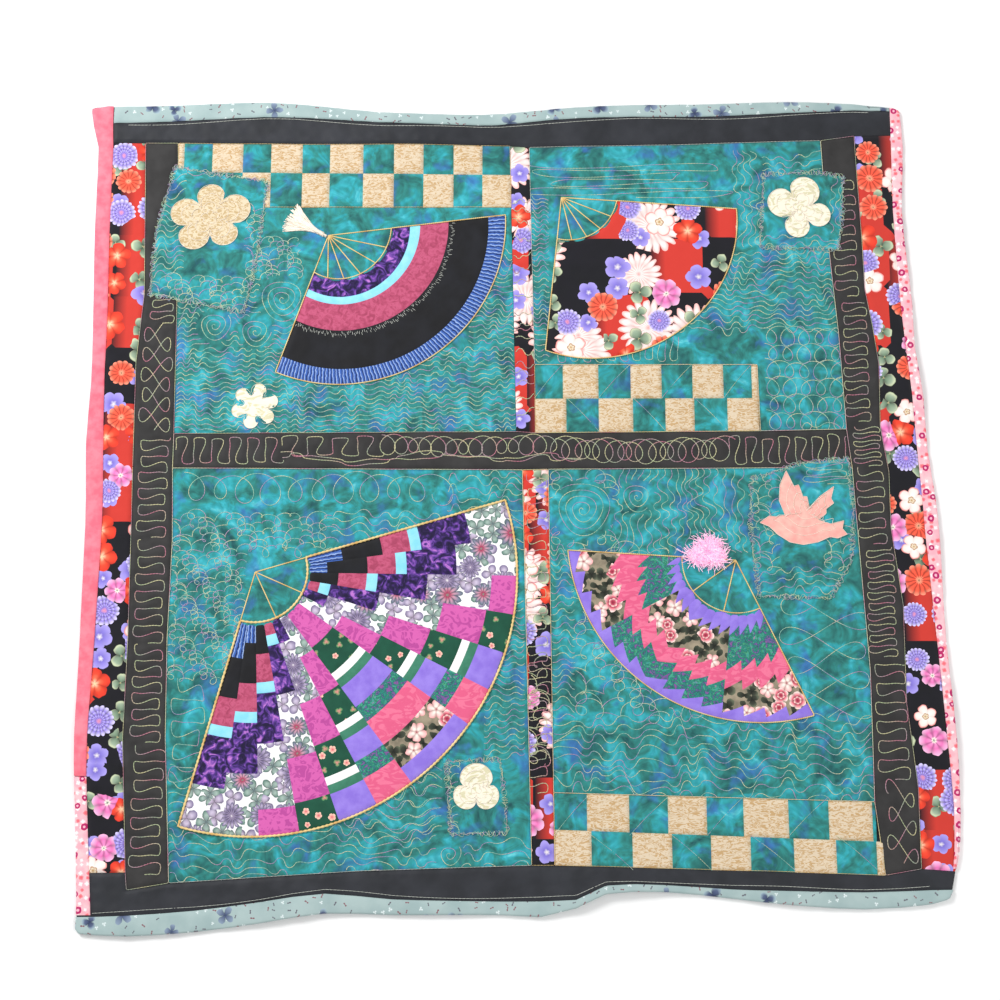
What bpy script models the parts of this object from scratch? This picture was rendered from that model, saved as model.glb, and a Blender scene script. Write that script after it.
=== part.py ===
"""A hand-made fan quilt, about 1.3 m square, laid out flat with its edges rippling.

The quilt rests on z = 0 with its top towards +Z. +Y runs to the quilt's upper edge and +X to
its right edge, seen from above. Plan sizes in the tables are millimetres from the middle of
the quilt, and MM turns them to metres. Every cloth follows the same lattice of facets, lifted
by the same ripples, so that layers a little apart stay that far apart all over.
"""

import math

import bmesh
import bpy
from mathutils import Vector

MM = 0.001

# Heights of the layers above the ripple of the cloth, in millimetres.
GAP = 0.3
QUILT_LAYERS = (0.0, 3.0)
PIECED_TOP = (3.3, 4.9)
APPLIQUE = (5.2, 6.0)
MOTIF = (6.3, 7.1)
BINDING_CLOTH = 1.0
BINDING = (0.0, PIECED_TOP[1] + GAP + BINDING_CLOTH)

SEAM_HALF_GAP = 0.2
LATTICE_STEP = 68.0
LATTICE_START = -701.0
EDGE_STEP = 40.0
REACH_OUT = 720.0
CUTTER_LOW = -8.0
CUTTER_HIGH = 34.0
CORNER_ROUND = 7.0
CORNER_BULGE = 0.3
CORNER_COSINE = 0.6
LATTICE_MARGIN = 2.0
SEAM_MARGIN = 0.5
BINDING_MARGIN = 30.0
WELD = 1e-6
FLAT_ANGLE = 1e-4

# Each side of the quilt: place along the side, outer edge, stitched fold of the binding.
TOP_SIDE = (
    (-654, 634, 606), (-619, 635, 606), (-520, 638, 610), (-382, 643, 617), (-289, 636, 614),
    (-196, 624, 606), (-81, 620, 602), (-12, 623, 603), (61, 630, 611), (181, 638, 617),
    (326, 640, 618), (470, 642, 624), (543, 640, 628), (601, 634, 627), (616, 631, 625),
)
RIGHT_SIDE = (
    (631, 616, 601), (562, 619, 600), (460, 612, 598), (380, 616, 600), (309, 621, 603),
    (235, 621, 607), (161, 630, 613), (79, 633, 617), (0, 641, 621), (-63, 644, 623),
    (-213, 646, 632), (-360, 653, 639), (-456, 654, 644), (-526, 649, 641), (-550, 643, 638),
    (-590, 634, 634),
)
BOTTOM_SIDE = (
    (-617, -639, -616), (-545, -643, -614), (-449, -637, -607), (-355, -625, -595),
    (-262, -611, -583), (-166, -613, -591), (-12, -613, -594), (46, -616, -594),
    (97, -604, -592), (140, -584, -572), (226, -581, -571), (321, -590, -577),
    (392, -598, -579), (510, -605, -581), (605, -598, -578), (634, -590, -577),
)
LEFT_SIDE = (
    (634, -654, -619), (600, -648, -618), (565, -639, -616), (428, -639, -616),
    (294, -635, -613), (182, -632, -612), (89, -636, -610), (-39, -631, -606),
    (-213, -631, -609), (-359, -631, -612), (-456, -626, -608), (-597, -617, -597),
    (-639, -617, -594),
)
LEFT_BINDING_CHANGES_AT = -416.0
LEFT_BINDING_ENDS_AT = -613.5
RIGHT_BINDING_ENDS_AT = -548.0
TOP_BINDING_SPAN = (-617.5, 600.5)

# Ripples of the edge: x and y on the edge, way inwards in degrees, half width, reach, height.
RIPPLES = (
    (-140, 622, -90, 150, 92, 10.0),
    (120, 634, -90, 100, 70, 5.0),
    (430, 641, -90, 120, 80, 7.0),
    (-650, 560, -20, 95, 80, 6.0),
    (-632, 180, 0, 110, 76, 7.0),
    (-631, -120, 0, 100, 66, 4.0),
    (-629, -380, 0, 125, 80, 8.0),
    (617, 420, 180, 100, 64, 5.0),
    (624, 210, 180, 115, 76, 9.0),
    (642, -60, 180, 105, 70, 5.0),
    (651, -330, 180, 130, 84, 8.0),
    (610, -600, 110, 90, 70, 4.0),
    (150, -586, 90, 130, 84, 13.0),
    (-120, -614, 90, 105, 70, 5.0),
    (-310, -618, 90, 120, 80, 9.0),
    (400, -598, 90, 105, 74, 6.0),
    (-540, -642, 90, 100, 70, 5.0),
)

# Seams of the pieced top, each as x, y from its upper or left end.
BORDER_LEFT_SEAM = (
    (-566, 573), (-558, 323), (-566, 214), (-564, 43), (-562, -63), (-560, -213),
    (-561, -360), (-549, -553),
)
SASH_LEFT_SEAM = (
    (-515, 573), (-511, 466), (-507, 304), (-504, 101), (-504, 47), (-500, -63),
    (-502, -213), (-499, -360), (-486, -568),
)
SASH_RIGHT_SEAM = (
    (490, 577), (497, 389), (506, 259), (512, 108), (518, 48), (522, -45), (532, -262),
    (530, -452), (541, -557),
)
BORDER_RIGHT_SEAM = (
    (543, 585), (545, 510), (548, 408), (549, 333), (558, 273), (565, 210), (563, 112),
    (573, 41), (572, -45), (585, -163), (583, -311), (594, -432), (593, -548),
)
BAND_TOP_SEAM = (
    (-700, 573), (-566, 573), (-515, 573), (4, 568), (34, 566), (249, 570), (490, 577),
    (543, 585), (700, 588),
)
BAND_BOTTOM_SEAM = (
    (-700, -555), (-549, -553), (-546, -578), (-486, -568), (-215, -551), (34, -543),
    (67, -543), (179, -546), (369, -551), (541, -557), (593, -548), (700, -556),
)
MIDDLE_UPPER_SEAM = ((-504, 101), (13, 104), (42, 102), (382, 105), (512, 108))
MIDDLE_LOWER_SEAM = ((-504, 47), (22, 44), (61, 45), (518, 48))

# Fans: pivot x, y; angles of the two sides; inner radius at each side; outer radius at the
# first side, the middle and the second side.
FANS = {
    "fan_striped": (-277, 419, 7.0, -109.0, 98, 64, 276, 254, 234),
    "fan_printed": (84, 482, -4.0, -96.0, 86, 69, 272, 282, 251),
    "fan_stepped": (-375, -113, 16.5, -105.0, 78, 76, 387, 391, 388),
    "fan_zigzag": (339, -95, -183.5, -65.0, 80, 80, 250, 232, 256),
}
FAN_STEPS = 18
FAN_CLOTHS = {
    "fan_striped": "fan_dark",
    "fan_printed": "floral",
    "fan_stepped": "fan_mixed",
    "fan_zigzag": "fan_rose",
}

# Cloth patches that carry a motif, by their corners.
PATCHES = {
    "patch_upper_left": ((-518, 532), (-373, 508), (-380, 446), (-392, 352), (-404, 294),
                         (-549, 322), (-543, 430)),
    "patch_upper_right": ((399, 520), (485, 523), (523, 516), (519, 455), (511, 396), (391, 399)),
    "patch_lower_right": ((440, 54), (513, 62), (517, -20), (511, -96), (478, -152),
                          (372, -150), (362, -40), (366, 30), (400, 40)),
    "patch_lower_middle": ((-90, -394), (-12, -391), (-5, -450), (-1, -497), (-82, -499)),
}

# Lobed motifs: middle x, y; turn; mean radius; waves of the radius as count, depth, phase.
# Waves of three and more make round lobes with narrow notches, the others only lean them.
QUARTER = 0.5 * math.pi
MOTIFS = {
    "motif_blossom": (-461, 448, 0.35, 46, ((5, 13, 0.0), (2, 6, 0.0))),
    "motif_butterfly": (456, 460, 0.5, 36, ((4, 14, 2 * QUARTER), (1, 6, -QUARTER), (2, -3, 0.0))),
    "motif_tulip": (-46, -440, 0.0, 27, ((1, 7, -QUARTER), (3, 9, QUARTER))),
    "motif_rose": (-383, 144, 0.3, 28, ((6, 8, 0.0),)),
}
PETAL_STEPS = 60
LOBE_POWER = 0.6

# The bird motif: its middle, and its outline round it from its beak over its wings.
BIRD_AT = (440, -42)
BIRD = (
    (-64, 4), (-50, 14), (-38, 13), (-26, 16), (-34, 38), (-32, 62), (-22, 84), (-11, 60),
    (-4, 62), (2, 44), (8, 44), (11, 27), (27, 44), (49, 60), (44, 41), (48, 34), (36, 25),
    (36, 18), (24, 8), (42, 2), (62, 7), (59, -5), (66, -14), (52, -20), (40, -18), (22, -26),
    (0, -30), (-20, -26), (-38, -14), (-50, -2),
)

# The thread tassel at the striped fan's pivot: a wound head and layers of loose threads.
TASSEL_AT = (-286, 416)
TASSEL_DEGREES = 152.0
TASSEL_SPREAD = 26.0
TASSEL_HEAD = 8.5
TASSEL_HEAD_HEIGHT = 3.2
TASSEL_NECK = 13.0
TASSEL_LAYERS = 3
TASSEL_LAYER_STEP = 1.9
TASSEL_THREADS = 9
THREAD_LENGTH = 64.0
THREAD_RADIUS = 0.7

# The yarn tuft at the zigzag fan's pivot: a flat core and tiers of locks, each tier as
# count, distance of the roots from the middle, height, length and climb.
TUFT_AT = (297, -85)
TUFT_CORE = (19.0, 17.0, 5.0)
TUFT_TIERS = (
    (22, 8.0, 3.0, 20.0, 0.02), (18, 10.0, 6.5, 19.0, 0.30), (12, 8.0, 8.0, 15.0, 0.75),
    (6, 3.0, 8.5, 9.0, 1.8),
)
LOCK_ROOT = 1.9
LOCK_TIP = 0.8

# Linear colour and roughness of each cloth.
COLOURS = {
    "backing": ((0.045, 0.045, 0.05), 0.9),
    "teal": ((0.01, 0.19, 0.2), 0.85),
    "charcoal": ((0.035, 0.038, 0.045), 0.75),
    "tan": ((0.62, 0.46, 0.24), 0.85),
    "floral": ((0.42, 0.05, 0.04), 0.85),
    "blue_grey": ((0.25, 0.4, 0.42), 0.8),
    "pink": ((0.9, 0.25, 0.3), 0.85),
    "pink_print": ((0.85, 0.35, 0.4), 0.85),
    "fan_dark": ((0.2, 0.03, 0.08), 0.85),
    "fan_mixed": ((0.35, 0.2, 0.4), 0.85),
    "fan_rose": ((0.65, 0.18, 0.35), 0.85),
    "cream": ((0.8, 0.74, 0.6), 0.85),
    "soft_pink": ((0.85, 0.45, 0.45), 0.85),
    "yarn_pink": ((0.85, 0.4, 0.65), 0.95),
}


def clear_scene():
    """Removes whatever the file opened with."""
    for obj in list(bpy.data.objects):
        bpy.data.objects.remove(obj)


def collection(name):
    """Makes a collection in the scene."""
    made = bpy.data.collections.new(name)
    bpy.context.scene.collection.children.link(made)
    return made


def material(name):
    """A plain cloth material with the named colour."""
    made = bpy.data.materials.get(name)
    if made is None:
        colour, roughness = COLOURS[name]
        made = bpy.data.materials.new(name)
        made.use_nodes = True
        shader = made.node_tree.nodes["Principled BSDF"]
        shader.inputs["Base Color"].default_value = (*colour, 1.0)
        shader.inputs["Roughness"].default_value = roughness
    return made


def soft(share):
    """A bump that is 1 at share 0 and falls smoothly to 0 at share 1."""
    return math.cos(0.5 * math.pi * min(abs(share), 1.0)) ** 2


def ripple_lift(x, y):
    """How high the cloth's underside is lifted off the floor at a place, in millimetres."""
    lift = 0.0
    for edge_x, edge_y, degrees, half_width, reach, height in RIPPLES:
        inward = Vector((math.cos(math.radians(degrees)), math.sin(math.radians(degrees))))
        place = Vector((x - edge_x, y - edge_y))
        across = place.dot(Vector((-inward.y, inward.x)))
        depth = max(place.dot(inward), 0.0)
        lift += height * soft(across / half_width) * soft(depth / reach)
    return lift


def smooth_rows(rows, step):
    """A side's rows again, close together, on a curve through all of them."""
    made = []
    last = len(rows) - 1
    for i in range(last):
        before, start, end, after = (rows[max(0, min(last, i + k))] for k in (-1, 0, 1, 2))
        pieces = max(1, round(abs(end[0] - start[0]) / step))
        for k in range(pieces):
            t = k / pieces
            row = []
            for a, b, c, d in zip(before, start, end, after):
                bend = (2 * a - 5 * b + 4 * c - d) * t + (3 * b - a - 3 * c + d) * t * t
                row.append(b + 0.5 * t * (c - a + bend))
            made.append(tuple(row))
    made.append(tuple(float(value) for value in rows[last]))
    return made


def side_points():
    """The outline's sides, clockwise from the upper left corner, as lists of x, y."""
    top = [(row[0], row[1]) for row in smooth_rows(TOP_SIDE, EDGE_STEP)]
    right = [(row[1], row[0]) for row in smooth_rows(RIGHT_SIDE, EDGE_STEP)]
    bottom = [(row[0], row[1]) for row in smooth_rows(BOTTOM_SIDE, EDGE_STEP)][::-1]
    left = [(row[1], row[0]) for row in smooth_rows(LEFT_SIDE, EDGE_STEP)][::-1]
    return top, right, bottom, left


def rounded(points, radius):
    """A closed outline with three points in place of each sharp corner."""
    made = []
    count = len(points)
    for i in range(count):
        before, here, after = (Vector(points[(i + k) % count]) for k in (-1, 0, 1))
        into = (here - before).normalized()
        out = (after - here).normalized()
        if into.dot(out) > CORNER_COSINE:
            made.append(tuple(here))
        else:
            made.append(tuple(here - into * radius))
            made.append(tuple(here + (out - into) * CORNER_BULGE * radius))
            made.append(tuple(here + out * radius))
    return made


def quilt_outline():
    """The whole quilt's outline, clockwise, with its corners rounded."""
    points = []
    for side in side_points():
        points += side[1:] if points else side
    return rounded(points[:-1], CORNER_ROUND)


def inset(points, distance):
    """A clockwise outline moved inwards by a distance."""
    made = []
    count = len(points)
    for i in range(count):
        before, here, after = (Vector(points[(i + k) % count]) for k in (-1, 0, 1))
        into = (here - before).normalized()
        out = (after - here).normalized()
        inward_in = Vector((into.y, -into.x))
        inward_out = Vector((out.y, -out.x))
        middle = inward_in + inward_out
        made.append(tuple(here + middle * (distance / (1.0 + inward_in.dot(inward_out)))))
    return made


def clockwise(points):
    """The outline, turned round if it runs the other way."""
    area = 0.0
    for (ax, ay), (bx, by) in zip(points, points[1:] + points[:1]):
        area += ax * by - bx * ay
    return points if area < 0 else points[::-1]


def hide_cutter(obj):
    """Marks an object as a cutter, which is no part of the quilt."""
    obj.hide_render = True
    obj.display_type = "WIRE"
    return obj


def prism(name, points, low, high, group):
    """An upright prism on a closed outline, as a mesh."""
    curve = bpy.data.curves.new(name + "_outline", "CURVE")
    curve.dimensions = "2D"
    curve.fill_mode = "BOTH"
    curve.extrude = 0.5 * (high - low) * MM
    spline = curve.splines.new("POLY")
    spline.points.add(len(points) - 1)
    for point, (x, y) in zip(spline.points, points):
        point.co = (x * MM, y * MM, 0.0, 1.0)
    spline.use_cyclic_u = True
    drawn = bpy.data.objects.new(name + "_drawn", curve)
    bpy.context.scene.collection.objects.link(drawn)
    bpy.context.view_layer.update()
    graph = bpy.context.evaluated_depsgraph_get()
    mesh = bpy.data.meshes.new_from_object(drawn.evaluated_get(graph))
    bpy.data.objects.remove(drawn)
    bpy.data.curves.remove(curve)
    shape = bmesh.new()
    shape.from_mesh(mesh)
    bmesh.ops.remove_doubles(shape, verts=shape.verts, dist=WELD)
    bmesh.ops.dissolve_limit(
        shape, angle_limit=FLAT_ANGLE, verts=shape.verts[:], edges=shape.edges[:]
    )
    bmesh.ops.recalc_face_normals(shape, faces=shape.faces)
    bmesh.ops.translate(shape, verts=shape.verts, vec=(0.0, 0.0, 0.5 * (low + high) * MM))
    shape.to_mesh(mesh)
    shape.free()
    mesh.name = name
    obj = bpy.data.objects.new(name, mesh)
    group.objects.link(obj)
    return obj


def mesh_object(name, shape, group):
    """An object from a built mesh, with its normals outwards."""
    bmesh.ops.recalc_face_normals(shape, faces=shape.faces)
    mesh = bpy.data.meshes.new(name)
    shape.to_mesh(mesh)
    shape.free()
    obj = bpy.data.objects.new(name, mesh)
    group.objects.link(obj)
    return obj


def lattice_span(values):
    """The lattice lines around some places, as the first line's place and the number of cells."""
    first = math.floor((min(values) - LATTICE_MARGIN - LATTICE_START) / LATTICE_STEP)
    last = math.ceil((max(values) + LATTICE_MARGIN - LATTICE_START) / LATTICE_STEP)
    return LATTICE_START + first * LATTICE_STEP, last - first


def slab(name, points, heights, group):
    """A stretch of cloth that covers an outline's box, on the shared lattice of facets."""
    start_x, cells_x = lattice_span([point[0] for point in points])
    start_y, cells_y = lattice_span([point[1] for point in points])
    shape = bmesh.new()
    bmesh.ops.create_grid(shape, x_segments=cells_x, y_segments=cells_y, size=0.5)
    for vertex in shape.verts:
        x = start_x + (vertex.co.x + 0.5) * cells_x * LATTICE_STEP
        y = start_y + (vertex.co.y + 0.5) * cells_y * LATTICE_STEP
        vertex.co = (x * MM, y * MM, (ripple_lift(x, y) + heights[0]) * MM)
    bmesh.ops.triangulate(shape, faces=shape.faces, quad_method="FIXED")
    lower = shape.faces[:]
    raised = bmesh.ops.extrude_face_region(shape, geom=lower, use_keep_orig=True)
    moved = [item for item in raised["geom"] if isinstance(item, bmesh.types.BMVert)]
    bmesh.ops.translate(
        shape, verts=moved, vec=(0.0, 0.0, (heights[1] - heights[0]) * MM)
    )
    bmesh.ops.dissolve_limit(
        shape, angle_limit=FLAT_ANGLE, verts=shape.verts[:], edges=shape.edges[:]
    )
    return mesh_object(name, shape, group)


def boolean(obj, operation, other):
    """Adds a Boolean of one object with another."""
    modifier = obj.modifiers.new(operation.lower() + "_" + other.name, "BOOLEAN")
    modifier.operation = operation
    modifier.object = other
    return obj


def trimmed(name, points, heights, cloth, groups, trims=()):
    """Cloth on the lattice, cut to an outline and to further trims."""
    parts, cutters = groups
    outline = clockwise(list(points))
    cut = hide_cutter(prism(name + "_cut", outline, CUTTER_LOW, CUTTER_HIGH, cutters))
    obj = slab(name, outline, heights, parts)
    obj.data.materials.append(material(cloth))
    boolean(obj, "INTERSECT", cut)
    for trim in trims:
        boolean(obj, "INTERSECT", trim)
    return obj


def between(first, second):
    """A closed outline between two lines that run the same way."""
    return list(first) + list(second)[::-1]


def stretch_of(line, axis, low, high):
    """The points of a line whose x or y lies in a range, its ends included."""
    return [p for p in line if low - SEAM_MARGIN <= p[axis] <= high + SEAM_MARGIN]


def panels():
    """The pieces of the top by name: outline and cloth."""
    out = REACH_OUT
    sash_upper = stretch_of(SASH_LEFT_SEAM, 1, 101, 466)
    sash_lower = stretch_of(SASH_LEFT_SEAM, 1, -568, 47)
    right_upper = stretch_of(SASH_RIGHT_SEAM, 1, 108, 577)
    right_lower = stretch_of(SASH_RIGHT_SEAM, 1, -452, 48)
    bottom_left = stretch_of(BAND_BOTTOM_SEAM, 0, -486, 34)
    bottom_right = stretch_of(BAND_BOTTOM_SEAM, 0, 67, 541)
    top_right = stretch_of(BAND_TOP_SEAM, 0, 34, 490)
    strip_foot = (34, -543)
    return {
        "block_upper_left": (
            [(-511, 466), (6, 466), (13, 104)] + sash_upper[::-1][:-1], "teal"),
        "block_upper_right": (
            top_right + right_upper[1:]
            + [(382, 105), (380, 210), (41, 210)], "teal"),
        "block_lower_left": (
            [(22, 44)] + bottom_left[::-1] + sash_lower[::-1][1:], "teal"),
        "block_lower_right": (
            [(61, 45)] + right_lower + [(66, -439)], "teal"),
        "chequer_upper_left": ([(-515, 573), (4, 568), (6, 466), (-511, 466)], "tan"),
        "chequer_upper_right": ([(41, 210), (380, 210), (382, 105), (42, 102)], "tan"),
        "chequer_lower_right": (
            [(66, -439), (530, -452)] + bottom_right[::-1], "tan"),
        "strip_upper": ([(4, 568), (34, 566), (41, 210), (42, 102), (13, 104), (6, 466)],
                        "floral"),
        "strip_lower": ([(22, 44), (61, 45), (66, -439), (67, -543), strip_foot], "floral"),
        "sashing_middle": (between(MIDDLE_UPPER_SEAM, MIDDLE_LOWER_SEAM), "charcoal"),
        "sashing_left": (
            between(BORDER_LEFT_SEAM + ((-546, -578),), SASH_LEFT_SEAM), "charcoal"),
        "sashing_right": (between(SASH_RIGHT_SEAM, BORDER_RIGHT_SEAM), "charcoal"),
        "band_top": (list(BAND_TOP_SEAM) + [(out, out), (-out, out)], "charcoal"),
        "band_bottom": (list(BAND_BOTTOM_SEAM) + [(out, -out), (-out, -out)], "charcoal"),
        "border_left": (
            list(BORDER_LEFT_SEAM) + [(-700, -555), (-700, 573)], "floral"),
        "border_right": (
            list(BORDER_RIGHT_SEAM) + [(700, -556), (700, 588)], "floral"),
    }


def rows_between(rows, low, high):
    """A side's rows from one place along it to another, with rows at both ends."""
    made = [row for row in rows if low < row[0] < high]
    for place in (low, high):
        for a, b in zip(rows, rows[1:]):
            if min(a[0], b[0]) <= place <= max(a[0], b[0]):
                share = (place - a[0]) / (b[0] - a[0])
                made.append((place, *(p + (q - p) * share for p, q in zip(a[1:], b[1:]))))
                break
    return sorted(made)


def binding_strips():
    """Each binding by name: outer line, fold line and cloth, running the same way."""
    margin = BINDING_MARGIN
    top = rows_between(smooth_rows(TOP_SIDE, EDGE_STEP), *TOP_BINDING_SPAN)
    bottom = smooth_rows(BOTTOM_SIDE, EDGE_STEP)
    left = smooth_rows(LEFT_SIDE, EDGE_STEP)
    upper = rows_between(left, LEFT_BINDING_CHANGES_AT + GAP, LEFT_SIDE[0][0])
    lower = rows_between(left, LEFT_BINDING_ENDS_AT, LEFT_BINDING_CHANGES_AT)
    right = smooth_rows(RIGHT_SIDE, EDGE_STEP)
    right = rows_between(right, RIGHT_BINDING_ENDS_AT, RIGHT_SIDE[0][0])
    upper[-1] = (upper[-1][0] + margin, *upper[-1][1:])
    right[-1] = (right[-1][0] + margin, *right[-1][1:])
    bottom[0] = (bottom[0][0] - margin, *bottom[0][1:])
    bottom[-1] = (bottom[-1][0] + margin, *bottom[-1][1:])

    def level(rows, out):
        return [(r[0], r[1] + out) for r in rows], [(r[0], r[2]) for r in rows]

    def upright(rows, out):
        return [(r[1] + out, r[0]) for r in rows], [(r[2], r[0]) for r in rows]

    return {
        "binding_top": (*level(top, margin), "blue_grey"),
        "binding_bottom": (*level(bottom, -margin), "blue_grey"),
        "binding_left_upper": (*upright(upper, -margin), "pink"),
        "binding_left_lower": (*upright(lower, -margin), "pink_print"),
        "binding_right": (*upright(right, margin), "pink_print"),
    }


def arc_radius(first, middle, last, share):
    """A radius that runs smoothly through three values."""
    return (first * (1 - share) * (1 - 2 * share) + 4 * middle * share * (1 - share)
            + last * share * (2 * share - 1))


def fan_outline(row):
    """The outline of a fan's leaf, between its inner and outer arcs."""
    pivot_x, pivot_y, start, end, inner_first, inner_last, first, middle, last = row
    outer, inner = [], []
    for step in range(FAN_STEPS + 1):
        share = step / FAN_STEPS
        angle = math.radians(start + (end - start) * share)
        way = (math.cos(angle), math.sin(angle))
        far = arc_radius(first, middle, last, share)
        outer.append((pivot_x + far * way[0], pivot_y + far * way[1]))
        if step % 2 == 0:
            near = inner_first + (inner_last - inner_first) * share
            inner.append((pivot_x + near * way[0], pivot_y + near * way[1]))
    return between(outer, inner)


def petal_outline(row):
    """The outline of a lobed motif round its middle."""
    middle_x, middle_y, turn, radius, waves = row
    made = []
    for step in range(PETAL_STEPS):
        angle = 2 * math.pi * step / PETAL_STEPS
        far = radius
        for count, depth, phase in waves:
            wave = math.cos(count * angle + phase)
            if count > 2:
                lobe = abs(math.cos(0.5 * (count * angle + phase)))
                wave = 2 * lobe ** LOBE_POWER - 1
            far += depth * wave
        made.append((middle_x + far * math.cos(angle + turn),
                     middle_y + far * math.sin(angle + turn)))
    return made


def motif_outlines():
    """The motif cloths by name: outline and cloth."""
    made = {name: (petal_outline(row), "cream") for name, row in MOTIFS.items()}
    bird = [(BIRD_AT[0] + x, BIRD_AT[1] + y) for x, y in BIRD]
    made["motif_bird"] = (bird, "soft_pink")
    return made


def lock(shape, root, way, length, root_radius, tip_radius, sides):
    """Adds one tapered strand or lock to a mesh, from its root along a way."""
    made = bmesh.ops.create_cone(
        shape, cap_ends=True, segments=sides, radius1=root_radius * MM,
        radius2=tip_radius * MM, depth=length * MM,
    )
    way = Vector(way).normalized()
    turn = way.to_track_quat("Z", "Y").to_matrix()
    middle = (Vector(root) + way * (0.5 * length)) * MM
    for vertex in made["verts"]:
        vertex.co = turn @ vertex.co + middle


def ball(shape, middle, radii, rings):
    """Adds a flattened ball to a mesh."""
    made = bmesh.ops.create_uvsphere(shape, u_segments=2 * rings, v_segments=rings, radius=1.0)
    for vertex in made["verts"]:
        vertex.co = [(m + r * c) * MM for m, r, c in zip(middle, radii, vertex.co)]


def fused(name, head, strands, cloth, groups):
    """A head and its strands made one body."""
    parts, cutters = groups
    obj = mesh_object(name, head, parts)
    obj.data.materials.append(material(cloth))
    other = hide_cutter(mesh_object(name + "_strands", strands, cutters))
    boolean(obj, "UNION", other).modifiers[-1].use_self = True
    return obj


def tassel(groups):
    """The cream thread tassel at the striped fan's pivot: a wound head and loose threads."""
    floor = APPLIQUE[0]
    axis = math.radians(TASSEL_DEGREES)
    across = Vector((-math.sin(axis), math.cos(axis)))
    head = bmesh.new()
    ball(head, (*TASSEL_AT, floor + TASSEL_HEAD_HEIGHT),
         (TASSEL_HEAD, TASSEL_HEAD, TASSEL_HEAD_HEIGHT), 6)
    strands = bmesh.new()
    for layer in range(TASSEL_LAYERS):
        for number in range(TASSEL_THREADS):
            share = number / (TASSEL_THREADS - 1) - 0.5
            angle = math.radians(TASSEL_DEGREES + TASSEL_SPREAD * share)
            uneven = 0.10 * abs(share) + 0.05 * ((number + layer) % 3)
            reach = THREAD_LENGTH * (1.0 - uneven)
            root = Vector(TASSEL_AT) + across * (TASSEL_NECK * share)
            height = floor + THREAD_RADIUS + TASSEL_LAYER_STEP * layer
            way = (math.cos(angle), math.sin(angle), -THREAD_RADIUS * layer / (2.0 * reach))
            lock(strands, (*root, height), way, reach, THREAD_RADIUS, 0.7 * THREAD_RADIUS, 3)
    return fused("tassel", head, strands, "cream", groups)


def yarn_tuft(groups):
    """The fluffy pink yarn tuft at the zigzag fan's pivot: locks round a flat core."""
    middle_x, middle_y = TUFT_AT
    floor = APPLIQUE[0]
    head = bmesh.new()
    ball(head, (middle_x, middle_y, floor + TUFT_CORE[2]), TUFT_CORE, 8)
    strands = bmesh.new()
    for tier, (count, root_reach, height, length, climb) in enumerate(TUFT_TIERS):
        for number in range(count):
            angle = 2 * math.pi * (number + 0.5 * (tier % 2)) / count
            reach = length * (1.0 + 0.16 * math.sin(5 * angle + tier))
            way = (1.1 * math.cos(angle), math.sin(angle), climb)
            start = (middle_x + root_reach * math.cos(angle),
                     middle_y + root_reach * math.sin(angle), floor + height)
            lock(strands, start, way, reach, LOCK_ROOT, LOCK_TIP, 4)
    return fused("yarn_tuft", head, strands, "yarn_pink", groups)


def build():
    """Builds every piece of the quilt."""
    clear_scene()
    groups = (collection("fan_quilt"), collection("cutters"))
    parts, cutters = groups
    outline = quilt_outline()
    inside = hide_cutter(prism(
        "inside_binding", inset(outline, BINDING_CLOTH + GAP), CUTTER_LOW, CUTTER_HIGH, cutters))
    whole = hide_cutter(prism("whole_quilt", outline, CUTTER_LOW, CUTTER_HIGH, cutters))
    core = slab("binding_core", outline, (BINDING_CLOTH, BINDING[1] - BINDING_CLOTH), cutters)
    core_cut = hide_cutter(prism(
        "binding_core_cut", inset(outline, BINDING_CLOTH), CUTTER_LOW, CUTTER_HIGH, cutters))
    hide_cutter(boolean(core, "INTERSECT", core_cut))

    strips = binding_strips()
    for name, (outer, fold, cloth) in strips.items():
        piece = trimmed(name, between(outer, fold), BINDING, cloth, groups, (whole,))
        boolean(piece, "DIFFERENCE", core)

    layers = slab("quilt_layers", outline, QUILT_LAYERS, parts)
    layers.data.materials.append(material("backing"))
    boolean(layers, "INTERSECT", inside)
    for name, (outer, fold, cloth) in strips.items():
        strip = clockwise(between(outer, fold))
        room = slab(name + "_room", strip, (CUTTER_LOW, BINDING_CLOTH + GAP), cutters)
        room_cut = hide_cutter(prism(
            name + "_room_cut", inset(strip, -GAP), 2 * CUTTER_LOW, CUTTER_HIGH, cutters))
        hide_cutter(boolean(room, "INTERSECT", room_cut))
        boolean(layers, "DIFFERENCE", room)

    for name, (points, cloth) in panels().items():
        shrunk = inset(clockwise(points), SEAM_HALF_GAP)
        trimmed(name, shrunk, PIECED_TOP, cloth, groups, (inside,))

    for name, row in FANS.items():
        trimmed(name, fan_outline(row), APPLIQUE, FAN_CLOTHS[name], groups)
    for name, points in PATCHES.items():
        trimmed(name, points, APPLIQUE, "teal", groups)
    for name, (points, cloth) in motif_outlines().items():
        on_patch = name != "motif_rose"
        trimmed(name, points, MOTIF if on_patch else APPLIQUE, cloth, groups)
    tassel(groups)
    yarn_tuft(groups)


build()
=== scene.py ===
"""The looks of a hand-made fan quilt, laid out flat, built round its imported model.

Plan sizes are millimetres in the quilt's own frame: +X to its right edge and +Y to its upper edge,
seen from above. The cloths follow the undersides of the frame's solids, and each cloth takes its
outline from the solid that it stands for, so nothing here moves or resizes the quilt.
"""

from __future__ import annotations

import logging
import math
from collections.abc import Callable, Iterable, Sequence
from dataclasses import dataclass, field, replace
from enum import Enum
from typing import Any

import bmesh
import bpy
import numpy as np
from bpy.types import Node, NodeSocket, NodeTree, Object
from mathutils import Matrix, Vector, geometry, kdtree
from mathutils.bvhtree import BVHTree

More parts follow.
